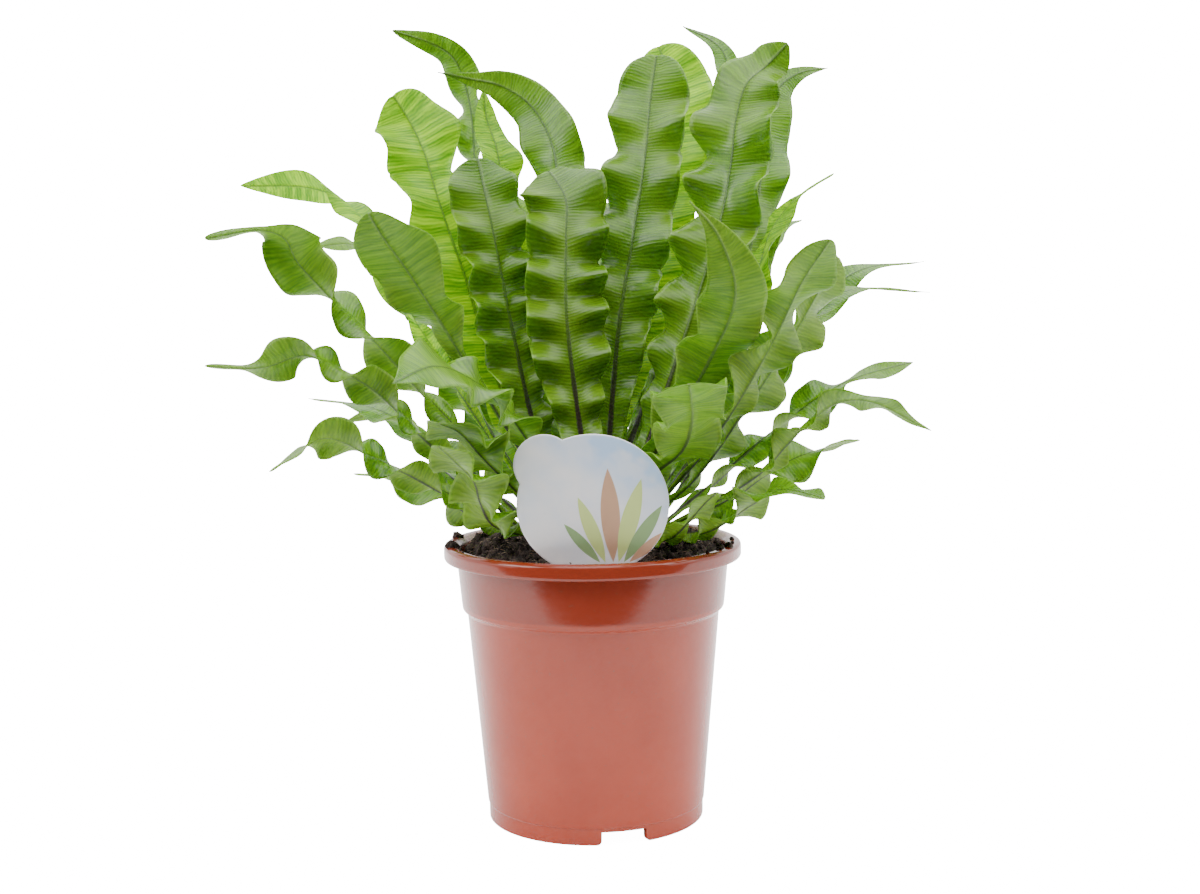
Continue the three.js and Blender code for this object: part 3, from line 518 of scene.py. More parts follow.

# The fronds: undivided leathery leaves, each a narrow stem that widens into a blade with a
# raised midrib, its halves waved in deep flutes or wound like a ribbon. The young middle
# ones stand up, the older outer ones arch over. They grow from the crown, each stem sunk a little into
# it.

RING_RADIUS = (4.6, 10.4, 15.8, 21)
RING_LEAN = (6, 20, 36, 52)
STEM_DEPTH = 5.0
STEM_HALF = 1.6
WAVE_GROWTH = 0.82
VEIN_SWEEP = 0.22
WAVE_START, WAVE_FADE, WAVE_LEFT = (0.08, 0.35), 0.18, 0.25
WAVE_UNEVEN, WAVE_DRIFT, MARGIN_UNEVEN, MARGIN_CRIMP = 0.14, 0.42, 0.04, 0.05
CREST_LOBE, CREST_HANG = 0.17, 0.12
STATION_STEP = 0.95
RIB_COLUMNS, BLADE_COLUMNS = 3, 7
RIB_AT_BASE, RIB_AT_TIP, RIB_ABOVE, RIB_BELOW = 1.45, 0.5, 0.45, 0.8
BLADE_THICKNESS, TIP_HALF = 0.42, 0.28
UV_LENGTH = 400.0
VEIN_SPACING = 1.35

# name: ring and azimuth of the stem, heading, half width, swing of the waves in degrees,
# length of a wave, ribbon-like or not, turn at base and tip, shares of the length between
# which the stem widens, where the waves fade, where the tip begins; points of the midrib
FRONDS = {
    "centre": (
        0, -90, 96, 19, 28, 15.5, 0, (0, 0), (.04, .54), .78, .88,
        ((-9, 4, 201), (-9, 14, 234), (-9, 21, 250), (-13, 26, 258), (-16, 29, 262))),
    "centre_left": (
        0, 170, 110, 17, 30, 15, 0, (0, 0), (.04, .54), .72, .86,
        ((-21, 8, 152), (-31, 16, 194), (-39, 26, 236), (-46, 36, 268))),
    "centre_right": (
        0, 15, 78, 17.5, 22, 22, 0, (0, 0), (.04, .54), .8, .88,
        ((12, 15, 197), (19, 26, 237), (24, 34, 266), (27, 44, 292), (30, 51, 311))),
    "behind_right": (
        0, 80, 80, 18, 24, 22, 0, (0, 0), (.04, .54), .8, .88,
        ((28, 52, 229), (38, 68, 281), (37, 78, 304), (32, 84, 319))),
    "back_bright": (
        1, 100, 104, 12, 34, 24, 0, (0, 20), (.04, .54), .74, .76,
        ((-21, 44, 226), (-36, 60, 258), (-40, 66, 276), (-44, 70, 288), (-45, 73, 301))),
    "right_tall": (
        1, 0, 62, 18.5, 26, 22, 0, (0, 0), (.04, .54), .74, .8,
        ((52, 2, 236), (58, 8, 264), (60, 12, 279), (65, 16, 295), (73, 17, 302), (81, 12, 310))),
    "left_bright": (
        1, 165, 120, 20, 28, 26, 0, (0, 0), (.04, .54), .8, .86,
        ((-36, 26, 169), (-53, 32, 223), (-62, 38, 249), (-69, 44, 272), (-75, 46, 285), (-81, 42, 295))),
    "back_left_whip": (
        1, 128, 130, 8, 68, 26, 1, (0, -75), (.04, .7), .7, .8,
        ((-36, 61, 197), (-50, 92, 266), (-54, 104, 301), (-62, 107, 320), (-88, 107, 331))),
    "back_arching": (
        0, 125, 120, 14, 30, 30, 0, (0, -70), (.04, .54), .6, .68,
        ((-12, 42, 249), (-15, 54, 275), (-24, 62, 292), (-37, 66, 301), (-50, 66, 304), (-64, 64, 307))),
    "back_right_whip": (
        1, 68, 70, 9, 60, 28, 1, (0, 60), (.04, .7), .72, .76,
        ((33, 51, 188), (56, 82, 251), (64, 98, 300), (61, 104, 320), (44, 107, 331))),
    "back_right_curl": (
        1, 40, 62, 13, 28, 26, 0, (0, 50), (.04, .54), .66, .72,
        ((65, 40, 220), (73, 56, 252), (78, 68, 280), (83, 76, 298), (93, 82, 306), (107, 86, 309))),
    "right_arching": (
        1, -48, -62, 14, 20, 24, 0, (0, -20), (.04, .54), .6, .66,
        ((20, -18, 142), (46, -38, 188), (54, -54, 212), (47, -64, 233), (37, -66, 245))),
    "left_oval": (
        1, -155, -145, 15.5, 34, 26, 0, (20, 40), (.45, .82), .66, .84,
        ((-30, -12, 155), (-52, -25, 194), (-68, -42, 223), (-75.5, -50, 235), (-79.5, -54, 243))),
    "right_high": (
        2, 24, 34, 12.5, 20, 26, 0, (0, -20), (.3, .75), .7, .78,
        ((60, 8, 192), (71, 20, 224), (75, 26, 235), (83, 31, 246), (91, 34, 253), (103, 38, 260))),
    "right_broad": (
        2, -4, 10, 18, 26, 24, 0, (-30, -50), (.04, .54), .78, .84,
        ((40, -7, 137), (61, -7, 165), (77.5, -6, 189), (90, -4, 210), (99, -2, 225))),
    "right_front": (
        2, -30, -25, 15, 30, 24, 0, (0, -30), (.25, .72), .76, .82,
        ((42, -27, 149), (57, -36, 172), (72, -35, 198), (80, -42, 216), (89, -52, 231))),
    "front_curled": (
        2, -66, -66, 14, 22, 25, 0, (0, 0), (.04, .54), .76, .88,
        ((21, -30, 140), (34, -44, 153), (37, -62, 165), (36, -80, 175), (34, -105, 182))),
    "left_crumpled": (
        2, -124, -126, 15, 34, 18, 0, (0, 0), (.04, .54), .74, .82,
        ((-29, -33, 138), (-41, -48, 153), (-48, -60, 163), (-54, -69, 167))),
    "left_front": (
        2, -142, -132, 15, 32, 24, 0, (0, -45), (.04, .6), .6, .7,
        ((-17, -24, 142), (-31, -44, 169), (-43, -63, 182), (-54, -82, 188), (-66, -108, 184))),
    "left_helix_high": (
        2, -168, -165, 11.5, 66, 47, 1, (0, 30), (.04, .7), .78, .82,
        ((-71, -14, 180), (-83, -20, 195), (-102, -28, 216), (-110, -32, 226), (-114, -36, 235),
         (-122, -39, 238), (-142, -44, 235))),
    "left_high": (
        2, 160, 165, 11, 50, 60, 1, (0, 40), (.1, .8), .72, .78,
        ((-64, 12, 190), (-78, 19, 212), (-89, 27, 234), (-96, 33, 246), (-106, 38, 254),
         (-119, 42, 258), (-147, 47, 259))),
    "left_back": (
        2, 138, 140, 15, 24, 28, 0, (0, 20), (.04, .54), .7, .8,
        ((-38, 38, 160), (-72, 66, 206), (-104, 84, 234), (-122, 90, 234))),
    "back_left": (
        2, 112, 112, 17, 28, 21, 0, (0, 0), (.04, .54), .7, .78,
        ((-13, 59, 164), (-22, 93, 213), (-32, 103, 240), (-48, 106, 251))),
    "back": (
        2, 86, 88, 18, 28, 21, 0, (0, 0), (.04, .54), .7, .78,
        ((9, 56, 170), (12, 86, 222), (10, 102, 246), (6, 108, 252))),
    "back_right": (
        2, 58, 55, 16, 28, 22, 0, (0, 0), (.04, .54), .66, .75,
        ((34, 53, 162), (62, 84, 212), (80, 98, 236), (98, 106, 243))),
    "right_far_whip": (
        3, 34, 30, 11, 50, 50, 1, (0, 20), (.04, .6), .6, .66,
        ((47, 40, 146), (88, 61, 190), (115, 64, 218), (146, 64, 223))),
    "right_far_low": (
        3, 20, 18, 9, 50, 44, 1, (0, 0), (.04, .6), .55, .64,
        ((64, 24, 167), (83, 30, 188), (95, 34, 201), (109, 36, 211), (144, 40, 210))),
    "right_low_whip": (
        3, 6, 10, 8.5, 60, 32, 1, (0, 20), (.04, .6), .66, .78,
        ((48, 12, 132), (76, 21, 154), (106, 26, 173), (135, 30, 181))),
    "right_ruffled": (
        3, -22, -15, 10, 38, 20, 0, (0, -30), (.04, .7), .6, .74,
        ((64, -20, 140), (76, -25, 153), (85, -29, 163), (96, -32, 170), (107, -33, 170),
         (131, -30, 158))),
    "right_lowest": (
        3, -8, 0, 10.5, 60, 36, 1, (0, 0), (.04, .7), .7, .88,
        ((54, -5, 128), (68, -6, 138), (79, -6, 144), (90, -5, 148), (107, -3, 152))),
    "right_front_low": (
        3, -36, -42, 13, 30, 22, 0, (0, 0), (.04, .54), .66, .8,
        ((45, -27, 120), (61, -40, 132), (71, -55, 139), (85, -66, 137))),
    "front_low": (
        3, -50, -52, 7.5, 28, 20, 0, (0, 0), (.04, .54), .7, .8,
        ((30, -37, 119), (37, -45, 127), (42, -52, 134), (46, -59, 139))),
    "left_helix_low": (
        3, -168, -162, 8.5, 60, 34, 1, (0, 30), (.04, .6), .78, .8,
        ((-66, -20, 158), (-75, -26, 169), (-84, -31, 178), (-96, -37, 186), (-107, -42, 191),
         (-122, -47, 187), (-142, -52, 188))),
    "left_low_whip": (
        3, -152, -156, 9.5, 60, 34, 1, (0, 20), (.04, .7), .74, .78,
        ((-62, -28, 139), (-71, -33, 145), (-82, -38, 151), (-93, -42, 158), (-101, -45, 160),
         (-111, -48, 154), (-120, -50, 148))),
    "left_corrugated": (
        3, -134, -137, 13.5, 30, 17, 0, (0, 0), (.04, .54), .8, .85,
        ((-37, -38, 125), (-41, -51, 135), (-43, -60, 145), (-49, -68, 153), (-54, -73, 159))),
    "left_lowest": (
        3, 178, 178, 11.5, 50, 36, 1, (0, 0), (.04, .5), .7, .74,
        ((-44, 2, 120), (-62, 4, 132), (-78, 6, 138), (-97, 8, 140))),
    "left_back_mid": (
        3, 147, 146, 9, 48, 40, 1, (0, 20), (.04, .6), .6, .7,
        ((-60, 44, 133), (-73, 58, 144), (-83, 66, 154), (-95, 70, 159), (-112, 72, 155))),
    "left_back_low": (
        3, 160, 154, 9, 50, 40, 1, (0, 0), (.04, .6), .6, .7,
        ((-44, 26, 132), (-68, 38, 150), (-94, 52, 163), (-124, 64, 167))),
    "back_left_low": (
        3, 134, 130, 14, 28, 22, 0, (0, 0), (.04, .54), .66, .75,
        ((-32, 45, 134), (-54, 73, 164), (-74, 92, 183), (-94, 105, 186))),
    "back_low_left": (
        3, 104, 104, 14, 28, 22, 0, (0, 0), (.04, .54), .66, .75,
        ((-10, 52, 134), (-18, 80, 163), (-24, 99, 182), (-31, 108, 187))),
    "back_low_right": (
        3, 78, 72, 14, 28, 22, 0, (0, 0), (.04, .54), .66, .75,
        ((16, 52, 134), (28, 80, 163), (36, 99, 181), (44, 108, 184))),
    "back_right_low": (
        3, 54, 46, 13, 28, 22, 0, (0, 0), (.04, .54), .66, .75,
        ((34, 49, 132), (62, 74, 160), (84, 91, 181), (106, 103, 186))),
}


def spline(points, step):
    """Centripetal Catmull-Rom curve: between two points a cubic whose end slopes come from
    the neighbouring points, where a stretch takes the time of the square root of its length.
    Gives places and unit tangents at even steps of length, and the length."""
    p = np.vstack([2 * points[0] - points[1], points, 2 * points[-1] - points[-2]])
    time = np.linalg.norm(np.diff(p, axis=0), axis=1, keepdims=True) ** 0.5
    a, b, c = time[:-2], time[1:-1], time[2:]
    p0, p1, p2, p3 = p[:-3], p[1:-2], p[2:-1], p[3:]
    leave = ((p1 - p0) / a - (p2 - p0) / (a + b) + (p2 - p1) / b) * b
    arrive = ((p2 - p1) / b - (p3 - p1) / (b + c) + (p3 - p2) / c) * b
    terms = np.stack([p1, leave, 3 * (p2 - p1) - 2 * leave - arrive, 2 * (p1 - p2) + leave + arrive])

    def at(t):
        stretch = np.minimum(t.astype(int), len(points) - 2)
        u = (t - stretch)[:, None]
        c0, c1, c2, c3 = terms[:, stretch]
        return c0 + u * (c1 + u * (c2 + u * c3)), c1 + u * (2 * c2 + 3 * u * c3)

    t = np.linspace(0, len(points) - 1, 1500)
    run = np.linalg.norm(np.diff(at(t)[0], axis=0), axis=1)
    length = np.concatenate([[0], np.cumsum(run)])
    count = int(round(length[-1] / step)) + 1
    places, slopes = at(np.interp(np.linspace(0, length[-1], count), length, t))
    return places, slopes / np.linalg.norm(slopes, axis=1, keepdims=True), length[-1]


def smooth(share, low, high):
    """Rises from 0 at low to 1 at high, level at both ends."""
    t = np.clip((share - low) / (high - low), 0, 1)
    return t * t * (3 - 2 * t)


def slow_waves(share, draw, pace, terms=3):
    """Sum of a few sine waves along the frond with random pace and shift, about -1 to 1."""
    paces, shifts = draw.uniform(0.5, 1.5, terms) * pace, draw.uniform(0, 2 * np.pi, terms)
    return np.sin(share[:, None] * paces + shifts).mean(axis=1) * 1.4


def frond(row, draw):
    """A point of the blade is C + W v w cos a + N |v| w sin a + T |v| w q. C runs along the
    midrib with tangent T; W points across and N out of the upper face; w is the half width
    and v goes from -1 to 1 across; q sweeps the veins forward. The swing a is a sine of the
    waves' phase that grows towards the margin as the square root of |v|; in a ribbon N takes
    the sign of v. The margin bulges at a crest, is drawn in at a trough and keeps its reach
    between them, where the blade would look wider for lying flat. Both faces lie off this
    surface along its normal, by half the thickness and the rib's rounded profile."""
    ring, azimuth, heading, half, wave, pitch, ribbon, roll, swell, still, taper, path = row
    turn, lean = np.radians(azimuth), np.radians(RING_LEAN[ring])
    radius = RING_RADIUS[ring]
    base = np.array([radius * np.cos(turn), radius * np.sin(turn), crown_height(radius)])
    grow = np.array([np.sin(lean) * np.cos(turn), np.sin(lean) * np.sin(turn), np.cos(lean)])
    points = np.array([base - STEM_DEPTH * grow, base, base + STEM_DEPTH * grow, *path], dtype=float)
    centre, tangent, length = spline(points, STATION_STEP)
    share = np.linspace(0, 1, len(centre))

    facing = np.radians(heading)
    sideways = np.array([-np.sin(facing), np.cos(facing), 0])
    across = sideways - (tangent @ sideways)[:, None] * tangent
    across /= np.linalg.norm(across, axis=1, keepdims=True)
    upper = np.cross(tangent, across)
    rolled = np.radians(roll[0] + (roll[1] - roll[0]) * share)[:, None]
    across, upper = (across * np.cos(rolled) + upper * np.sin(rolled),
                     upper * np.cos(rolled) - across * np.sin(rolled))

    past = np.clip(share - taper, 0, 1) / (1 - taper)
    width = STEM_HALF + (half - STEM_HALF) * smooth(share, *swell)
    closing = np.cos(past * 0.99 * np.pi / 2) ** (1.5 - smooth(taper, 0.6, 0.9))
    width = np.maximum(width * closing, TIP_HALF)
    rib = RIB_AT_BASE + (RIB_AT_TIP - RIB_AT_BASE) * np.minimum(share * 1.3, 1)
    rib = np.minimum(rib, width * 0.8)

    # columns: rib columns in the middle, then blade columns out to the margin
    steps = np.concatenate([np.arange(RIB_COLUMNS + 1) / RIB_COLUMNS,
                            1 + np.arange(1, BLADE_COLUMNS + 1) / BLADE_COLUMNS])
    place = np.concatenate([-steps[:0:-1], steps])
    inner = np.minimum(1.25 * rib / width, 0.9)[:, None]
    reach = np.abs(place)
    v = np.where(reach <= 1, reach * inner, inner + (reach - 1) * (1 - inner))
    side = np.sign(place)

    half_waves = round(2 * length / pitch)
    calm = smooth(share, *WAVE_START) * (1 - (1 - WAVE_LEFT) * smooth(share, still, still + WAVE_FADE))
    calm = (calm * (1 + WAVE_UNEVEN * slow_waves(share, draw, 18)))[:, None]
    shifts = [slow_waves(share, draw, 14) * (0.0 if ribbon else WAVE_DRIFT) for _ in range(2)]
    shift = np.where(side < 0, shifts[0][:, None], shifts[1][:, None])
    phase = np.pi * half_waves * share[:, None] ** WAVE_GROWTH + shift
    swing = np.radians(wave) * calm * np.sin(phase) * np.sqrt(v)
    crest = np.abs(np.cos((phase - np.pi / 2) / 2)) ** 0.75
    lobe = 1 + MARGIN_UNEVEN * slow_waves(share, draw, 40)[:, None] * v ** 3
    crimp = np.sin(phase * 2.6 + slow_waves(share, draw, 9)[:, None] * 3)
    crisp = MARGIN_CRIMP * crimp * v ** 5 * calm
    hang = 0.0
    if not ribbon:
        lobe = lobe * (1 - CREST_LOBE * calm * (1 - crest) * v ** 2.5)
        lobe = lobe * (1 - (1 - np.cos(np.radians(wave))) * calm * np.cos(phase) ** 2 * v ** 2)
        hang = -CREST_HANG * calm * np.maximum(np.sin(phase), 0) * v ** 2
    w = width[:, None] * lobe
    out = side * v * w * np.cos(swing)
    lift = (side if ribbon else 1.0) * v * w * np.sin(swing) + crisp * w
    ahead = v * w * (VEIN_SWEEP + hang)
    sheet = centre[:, None] + (across[:, None] * out[..., None] + upper[:, None] * lift[..., None]
                               + tangent[:, None] * ahead[..., None])

    normal = np.cross(np.gradient(sheet, axis=0), np.gradient(sheet, axis=1))
    normal /= np.maximum(np.linalg.norm(normal, axis=-1, keepdims=True), 1e-9)
    bulge = np.clip(1 - (reach / 1.1) ** 2, 0, 1) ** 1.4 * rib[:, None]
    thin = 0.5 * BLADE_THICKNESS * np.where(reach > 1.95, 0.6, 1.0) * np.minimum(1, width / 1.5)[:, None]
    top = sheet + normal * (thin + RIB_ABOVE * bulge)[..., None]
    under = sheet - normal * (thin + RIB_BELOW * bulge)[..., None]

    rows, columns = v.shape
    uv = np.stack(np.broadcast_arrays((share * length / UV_LENGTH)[:, None], 0.5 + 0.25 * place), -1)
    face = grid_faces(rows, columns)
    rim = np.arange(rows * columns).reshape(rows, columns)
    rim = np.concatenate([rim[:, 0], rim[-1, 1:], rim[-2::-1, -1], rim[0, -2:0:-1]])
    far = rim + rows * columns
    belt = np.stack([rim, np.roll(rim, -1), np.roll(far, -1), far], axis=-1)
    faces = np.vstack([face, face[:, ::-1] + rows * columns, belt])
    slots = np.concatenate([np.zeros(len(face), int), np.ones(len(face) + len(belt), int)])
    return np.stack([top, under]), faces, slots, np.stack([uv, uv])


# Leaf figure: from the blade's UV map come the fine cross veins, broader streaks between
# them, the midrib, the thin rim of the margin, and the distance from the stem.
figure, given, result = effect_group("leaf_figure", {"Vein spacing": VEIN_SPACING}, [
    ("Veins", "Float"), ("Streaks", "Float"), ("Midrib", "Float"), ("Margin", "Float"),
    ("Along", "Float"), ("Patches", "Float")])
flat = node(figure, "SeparateXYZ", {0: node(figure, "UVMap", uv_map="surface").outputs[0]}).outputs
along = math(figure, "MULTIPLY", flat["X"], UV_LENGTH)
signed = math(figure, "MULTIPLY", math(figure, "SUBTRACT", flat["Y"], 0.5), 4.0)
aside = math(figure, "ABSOLUTE", signed)
where = node(figure, "TexCoord").outputs["Object"]
plant = node(figure, "SeparateXYZ", {0: where}).outputs
drift = math(figure, "MULTIPLY", math(figure, "ADD", plant["X"], plant["Y"]), 6.0)
gentle = node(figure, "CombineXYZ", {
    "X": math(figure, "MULTIPLY", along, 0.09), "Y": signed, "Z": drift}).outputs[0]
vein_phase = math(figure, "ADD", math(figure, "DIVIDE", along, given["Vein spacing"]),
                  math(figure, "MULTIPLY", noise(figure, gentle, 1.0, 2.0), 3.0))
vein = math(figure, "SINE", math(figure, "MULTIPLY", vein_phase, 2 * np.pi))
stretched = node(figure, "CombineXYZ", {
    "X": math(figure, "MULTIPLY", along, 0.55), "Y": math(figure, "MULTIPLY", signed, 0.55),
    "Z": drift}).outputs[0]
streak = noise(figure, stretched, 1.0, 4.0, 0.6)
figure.links.new(math(figure, "ADD", 0.5, math(figure, "MULTIPLY", vein, 0.5)), result["Veins"])
figure.links.new(span(figure, streak, 0.36, 0.66), result["Streaks"])
figure.links.new(span(figure, aside, 1.02, 0.45), result["Midrib"])
figure.links.new(span(figure, aside, 1.95, 1.995), result["Margin"])
figure.links.new(along, result["Along"])
figure.links.new(span(figure, noise(figure, where, 28.0, 3.0), 0.35, 0.65), result["Patches"])

LEAF_DEEP = (0.058, 0.142, 0.004, 1)
LEAF_GREEN = (0.122, 0.262, 0.006, 1)
LEAF_YELLOW = (0.215, 0.350, 0.008, 1)
RIB_GREEN = (0.040, 0.095, 0.006, 1)
STEM_PURPLE = (0.030, 0.013, 0.012, 1)
MARGIN_PALE = (0.24, 0.42, 0.05, 1)
UNDER_GREEN = (0.130, 0.245, 0.016, 1)
UNDER_PALE = (0.200, 0.335, 0.028, 1)
UNDER_RIB = (0.17, 0.29, 0.07, 1)
GLOW_GREEN = (0.18, 0.45, 0.001, 1)
GLOW_YELLOW = (0.46, 0.78, 0.002, 1)
# Painted light: lighter leaf colours, and a brighter colour for the light let through, for the fronds
# that the light from behind catches.
LIT_FROND_DEEP = (0.155, 0.325, 0.008, 1)
LIT_FROND_GREEN = (0.290, 0.500, 0.012, 1)
LIT_FROND_GLOW = (0.74, 0.97, 0.004, 1)


def leaf_material(name, colours, roughness, gloss, relief, through, bright=GLOW_YELLOW):
    """Leaf tissue: a green that the veins, streaks and midrib mark, under a skin with a waxy
    gloss, mixed with the light that comes through the blade from behind."""
    deep, pale, rib = colours
    material, tree, surface = new_material(name)
    marks = placed(tree, figure, **{"Vein spacing": VEIN_SPACING})
    tone = math(tree, "ADD", math(tree, "MULTIPLY", marks["Veins"], 0.38),
                math(tree, "MULTIPLY", marks["Streaks"], 0.62))
    colour = blend(tree, tone, deep, pale)
    colour = blend(tree, math(tree, "MULTIPLY", marks["Patches"], 0.35), colour, LEAF_YELLOW)
    colour = blend(tree, math(tree, "MULTIPLY", marks["Midrib"], 0.55), colour, rib)
    stem = math(tree, "MULTIPLY", span(tree, marks["Along"], 105.0, 50.0), marks["Midrib"])
    colour = blend(tree, stem, colour, STEM_PURPLE)
    colour = blend(tree, math(tree, "MULTIPLY", marks["Margin"], 0.7), colour, MARGIN_PALE)
    glow = blend(tree, tone, GLOW_GREEN, bright)
    glow = blend(tree, math(tree, "MULTIPLY", marks["Midrib"], 0.7), glow, rib)
    height = math(tree, "ADD", math(tree, "MULTIPLY", marks["Veins"], 0.7),
                  math(tree, "MULTIPLY", marks["Streaks"], 0.6))
    bump = node(tree, "Bump", {
        "Height": height, "Strength": relief, "Distance": 0.0003}).outputs["Normal"]
    skin = node(tree, "BsdfPrincipled", {
        "Base Color": colour, "Normal": bump, "IOR": 1.42, "Coat Weight": gloss,
        "Coat Roughness": 0.18,
        "Roughness": span(tree, marks["Patches"], 0.0, 1.0, roughness, roughness + 0.12)}).outputs[0]
    light = node(tree, "BsdfTranslucent", {"Color": glow, "Normal": bump}).outputs[0]
    tree.links.new(node(tree, "MixShader", {0: through, 1: skin, 2: light}).outputs[0], surface)
    return material


grown = LEAF_DEEP, LEAF_GREEN, RIB_GREEN
beneath = UNDER_GREEN, UNDER_PALE, UNDER_RIB
lit_frond_colours = LIT_FROND_DEEP, LIT_FROND_GREEN, UNDER_RIB
leaf_upper = leaf_material("leaf_upper", grown, 0.26, 0.25, 0.35, 0.38)
leaf_under = leaf_material("leaf_under", beneath, 0.42, 0.05, 0.3, 0.38)
# painted light: lighter copies of the leaf materials that also let more light through, for the fronds lit
# from behind
lit_frond_upper = leaf_material("lit_frond_upper", lit_frond_colours, 0.3, 0.15, 0.35, 0.66, LIT_FROND_GLOW)
lit_frond_under = leaf_material("lit_frond_under", lit_frond_colours, 0.45, 0.05, 0.3, 0.66, LIT_FROND_GLOW)
# painted light: the fronds at the top and back, which the light from behind catches, take the lighter
# copies of the leaf materials
LIT_FRONDS = ("left_bright", "back_bright", "behind_right", "right_high", "left_high")

for number, (name, row) in enumerate(FRONDS.items()):
    points, faces, slots, uv = frond(row, np.random.default_rng(100 + number))
    skins = [lit_frond_upper, lit_frond_under] if name in LIT_FRONDS else [leaf_upper, leaf_under]
    leaf = add_piece("leaf_" + name, points, faces, skins, slots, uv)
    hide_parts("frond_" + name)

# The care tag: a card die-cut from white polystyrene sheet 0.7 mm thick, printed in soft
# colours in front and bare behind. Its stake is pushed into the peat behind the rim.

TAG_CENTRE, TAG_WIDE, TAG_HIGH = (0.6, 133.7), 28.6, 27.0
TAG_LOBE, TAG_LOBE_RADIUS = (-17.3, 149.2), 11.6
TAG_THICKNESS, TAG_DEPTH, TAG_LEAN = 0.7, -50.0, 4.0
STAKE_HALF, STAKE_LENGTH, STAKE_OVERLAP = 5.0, 62.0, 3.0
TAG_UV = 80.0


def stand_up(x, y, depth):
    """From the flat drawing, centred on the card, to its place in the pot, leaning forward."""
    tilt = np.radians(90 + TAG_LEAN)
    return np.stack([x, TAG_DEPTH + y * np.cos(tilt) - depth * np.sin(tilt),
                     TAG_CENTRE[1] + y * np.sin(tilt) + depth * np.cos(tilt)], -1)


def tag_card():
    """Rays from the card's centre to its outline, which is the farther of an ellipse and of a
    small circle at the upper left. Both faces are rings of shares of this reach, and the cut
    edge is rounded between them."""
    angle = np.linspace(0, 2 * np.pi, 360, endpoint=False)[:, None]
    dx, dy = np.cos(angle), np.sin(angle)
    ellipse = 1 / np.hypot(dx / TAG_WIDE, dy / TAG_HIGH)
    qx, qy = TAG_LOBE[0] - TAG_CENTRE[0], TAG_LOBE[1] - TAG_CENTRE[1]
    near = qx * dx + qy * dy
    hit = TAG_LOBE_RADIUS ** 2 - (qx ** 2 + qy ** 2 - near ** 2)
    lobe = np.where((hit > 0) & (near > 0), near + np.sqrt(np.maximum(hit, 0)), 0)
    reach = np.maximum(ellipse, lobe)
    inner = np.concatenate([[0.004], np.linspace(0.1, 0.9, 9), [0.97]])
    share = np.concatenate([inner, [1, 1, 1, 1], inner[::-1]])
    inset = np.concatenate([inner * 0, [0.22, 0.04, 0.04, 0.22], inner * 0])
    depth = TAG_THICKNESS * np.concatenate([inner * 0 + 0.5, [0.5, 0.3, -0.3, -0.5], inner * 0 - 0.5])
    distance = reach * share - inset
    x, y = TAG_CENTRE[0] + distance * dx, distance * dy
    points = stand_up(x, y, depth + 0 * x)
    faces = grid_faces(*x.shape, wrap_rows=True)[:, ::-1]
    front = np.arange(len(faces)) % (x.shape[1] - 1) < len(inner)
    uv = np.stack([0.5 + x / TAG_UV, 0.5 + y / TAG_UV], -1)
    return points, faces, np.where(front, 0, 1), uv


def tag_stake():
    """A flat bar whose half width holds for three quarters of its length and then runs
    straight to a point."""
    t = np.array([0, 0.3, 0.6, 0.75, 0.85, 0.95, 1.0])[:, None]
    half = STAKE_HALF * np.clip((1.02 - t) / 0.27, 0, 1)
    corner = np.array([(-1, -1), (1, -1), (1, 1), (-1, 1)])
    x = TAG_CENTRE[0] + half * corner[:, 0]
    y = -TAG_HIGH + STAKE_OVERLAP - (STAKE_LENGTH + STAKE_OVERLAP) * t + 0 * x
    points = stand_up(x, y, TAG_THICKNESS * 0.46 * corner[:, 1] + 0 * x)
    ends = np.array([[0, 1, 2, 3], [27, 26, 25, 24]])
    return points, np.vstack([grid_faces(7, 4, wrap_columns=True)[:, ::-1], ends])


# Print motif: a grass blade, the narrow overlap of two circles, drawn where its inputs say.
motif, given, result = effect_group("blade_motif", {"X": 0.0, "Y": 0.0, "Angle": 0.0, "Length": 10.0},
                                    [("Mask", "Float")])
drawn = node(motif, "VectorMath", {0: node(motif, "UVMap", uv_map="surface").outputs[0],
                                   1: (0.5, 0.5, 0.0)}, operation="SUBTRACT").outputs[0]
drawn = node(motif, "VectorMath", {0: drawn, "Scale": TAG_UV}, operation="SCALE").outputs[0]
drawn = node(motif, "Mapping", {
    "Vector": drawn,
    "Location": node(motif, "CombineXYZ", {0: given["X"], 1: given["Y"]}).outputs[0],
    "Rotation": node(motif, "CombineXYZ", {2: given["Angle"]}).outputs[0],
    "Scale": node(motif, "CombineXYZ", {0: given["Length"], 1: given["Length"], 2: 1.0}).outputs[0],
}, vector_type="TEXTURE").outputs[0]
sides = [node(motif, "VectorMath", {0: drawn, 1: (0, y, 0)}, operation="DISTANCE").outputs["Value"]
         for y in (1.2, -1.2)]
motif.links.new(span(motif, math(motif, "MAXIMUM", *sides), 1.304, 1.296), result["Mask"])

CARD_WHITE = (0.80, 0.785, 0.79, 1)
CARD_BLUE = (0.43, 0.58, 0.80, 1)
CARD_LIME = (0.52, 0.62, 0.22, 1)
CARD_GREEN = (0.24, 0.36, 0.16, 1)
CARD_TAN = (0.50, 0.30, 0.19, 1)
CARD_BARE = (0.74, 0.745, 0.75, 1)
# each blade of the printed tuft: x and y of its foot, angle, length, colour
TUFT = ((8, -22, 1.62, 36, CARD_TAN), (10, -22, 1.3, 33, CARD_LIME), (5, -22, 1.95, 27, CARD_LIME),
        (12, -22, 0.98, 26, CARD_GREEN), (3, -22, 2.3, 20, CARD_GREEN), (14, -22, 0.68, 19, CARD_TAN))

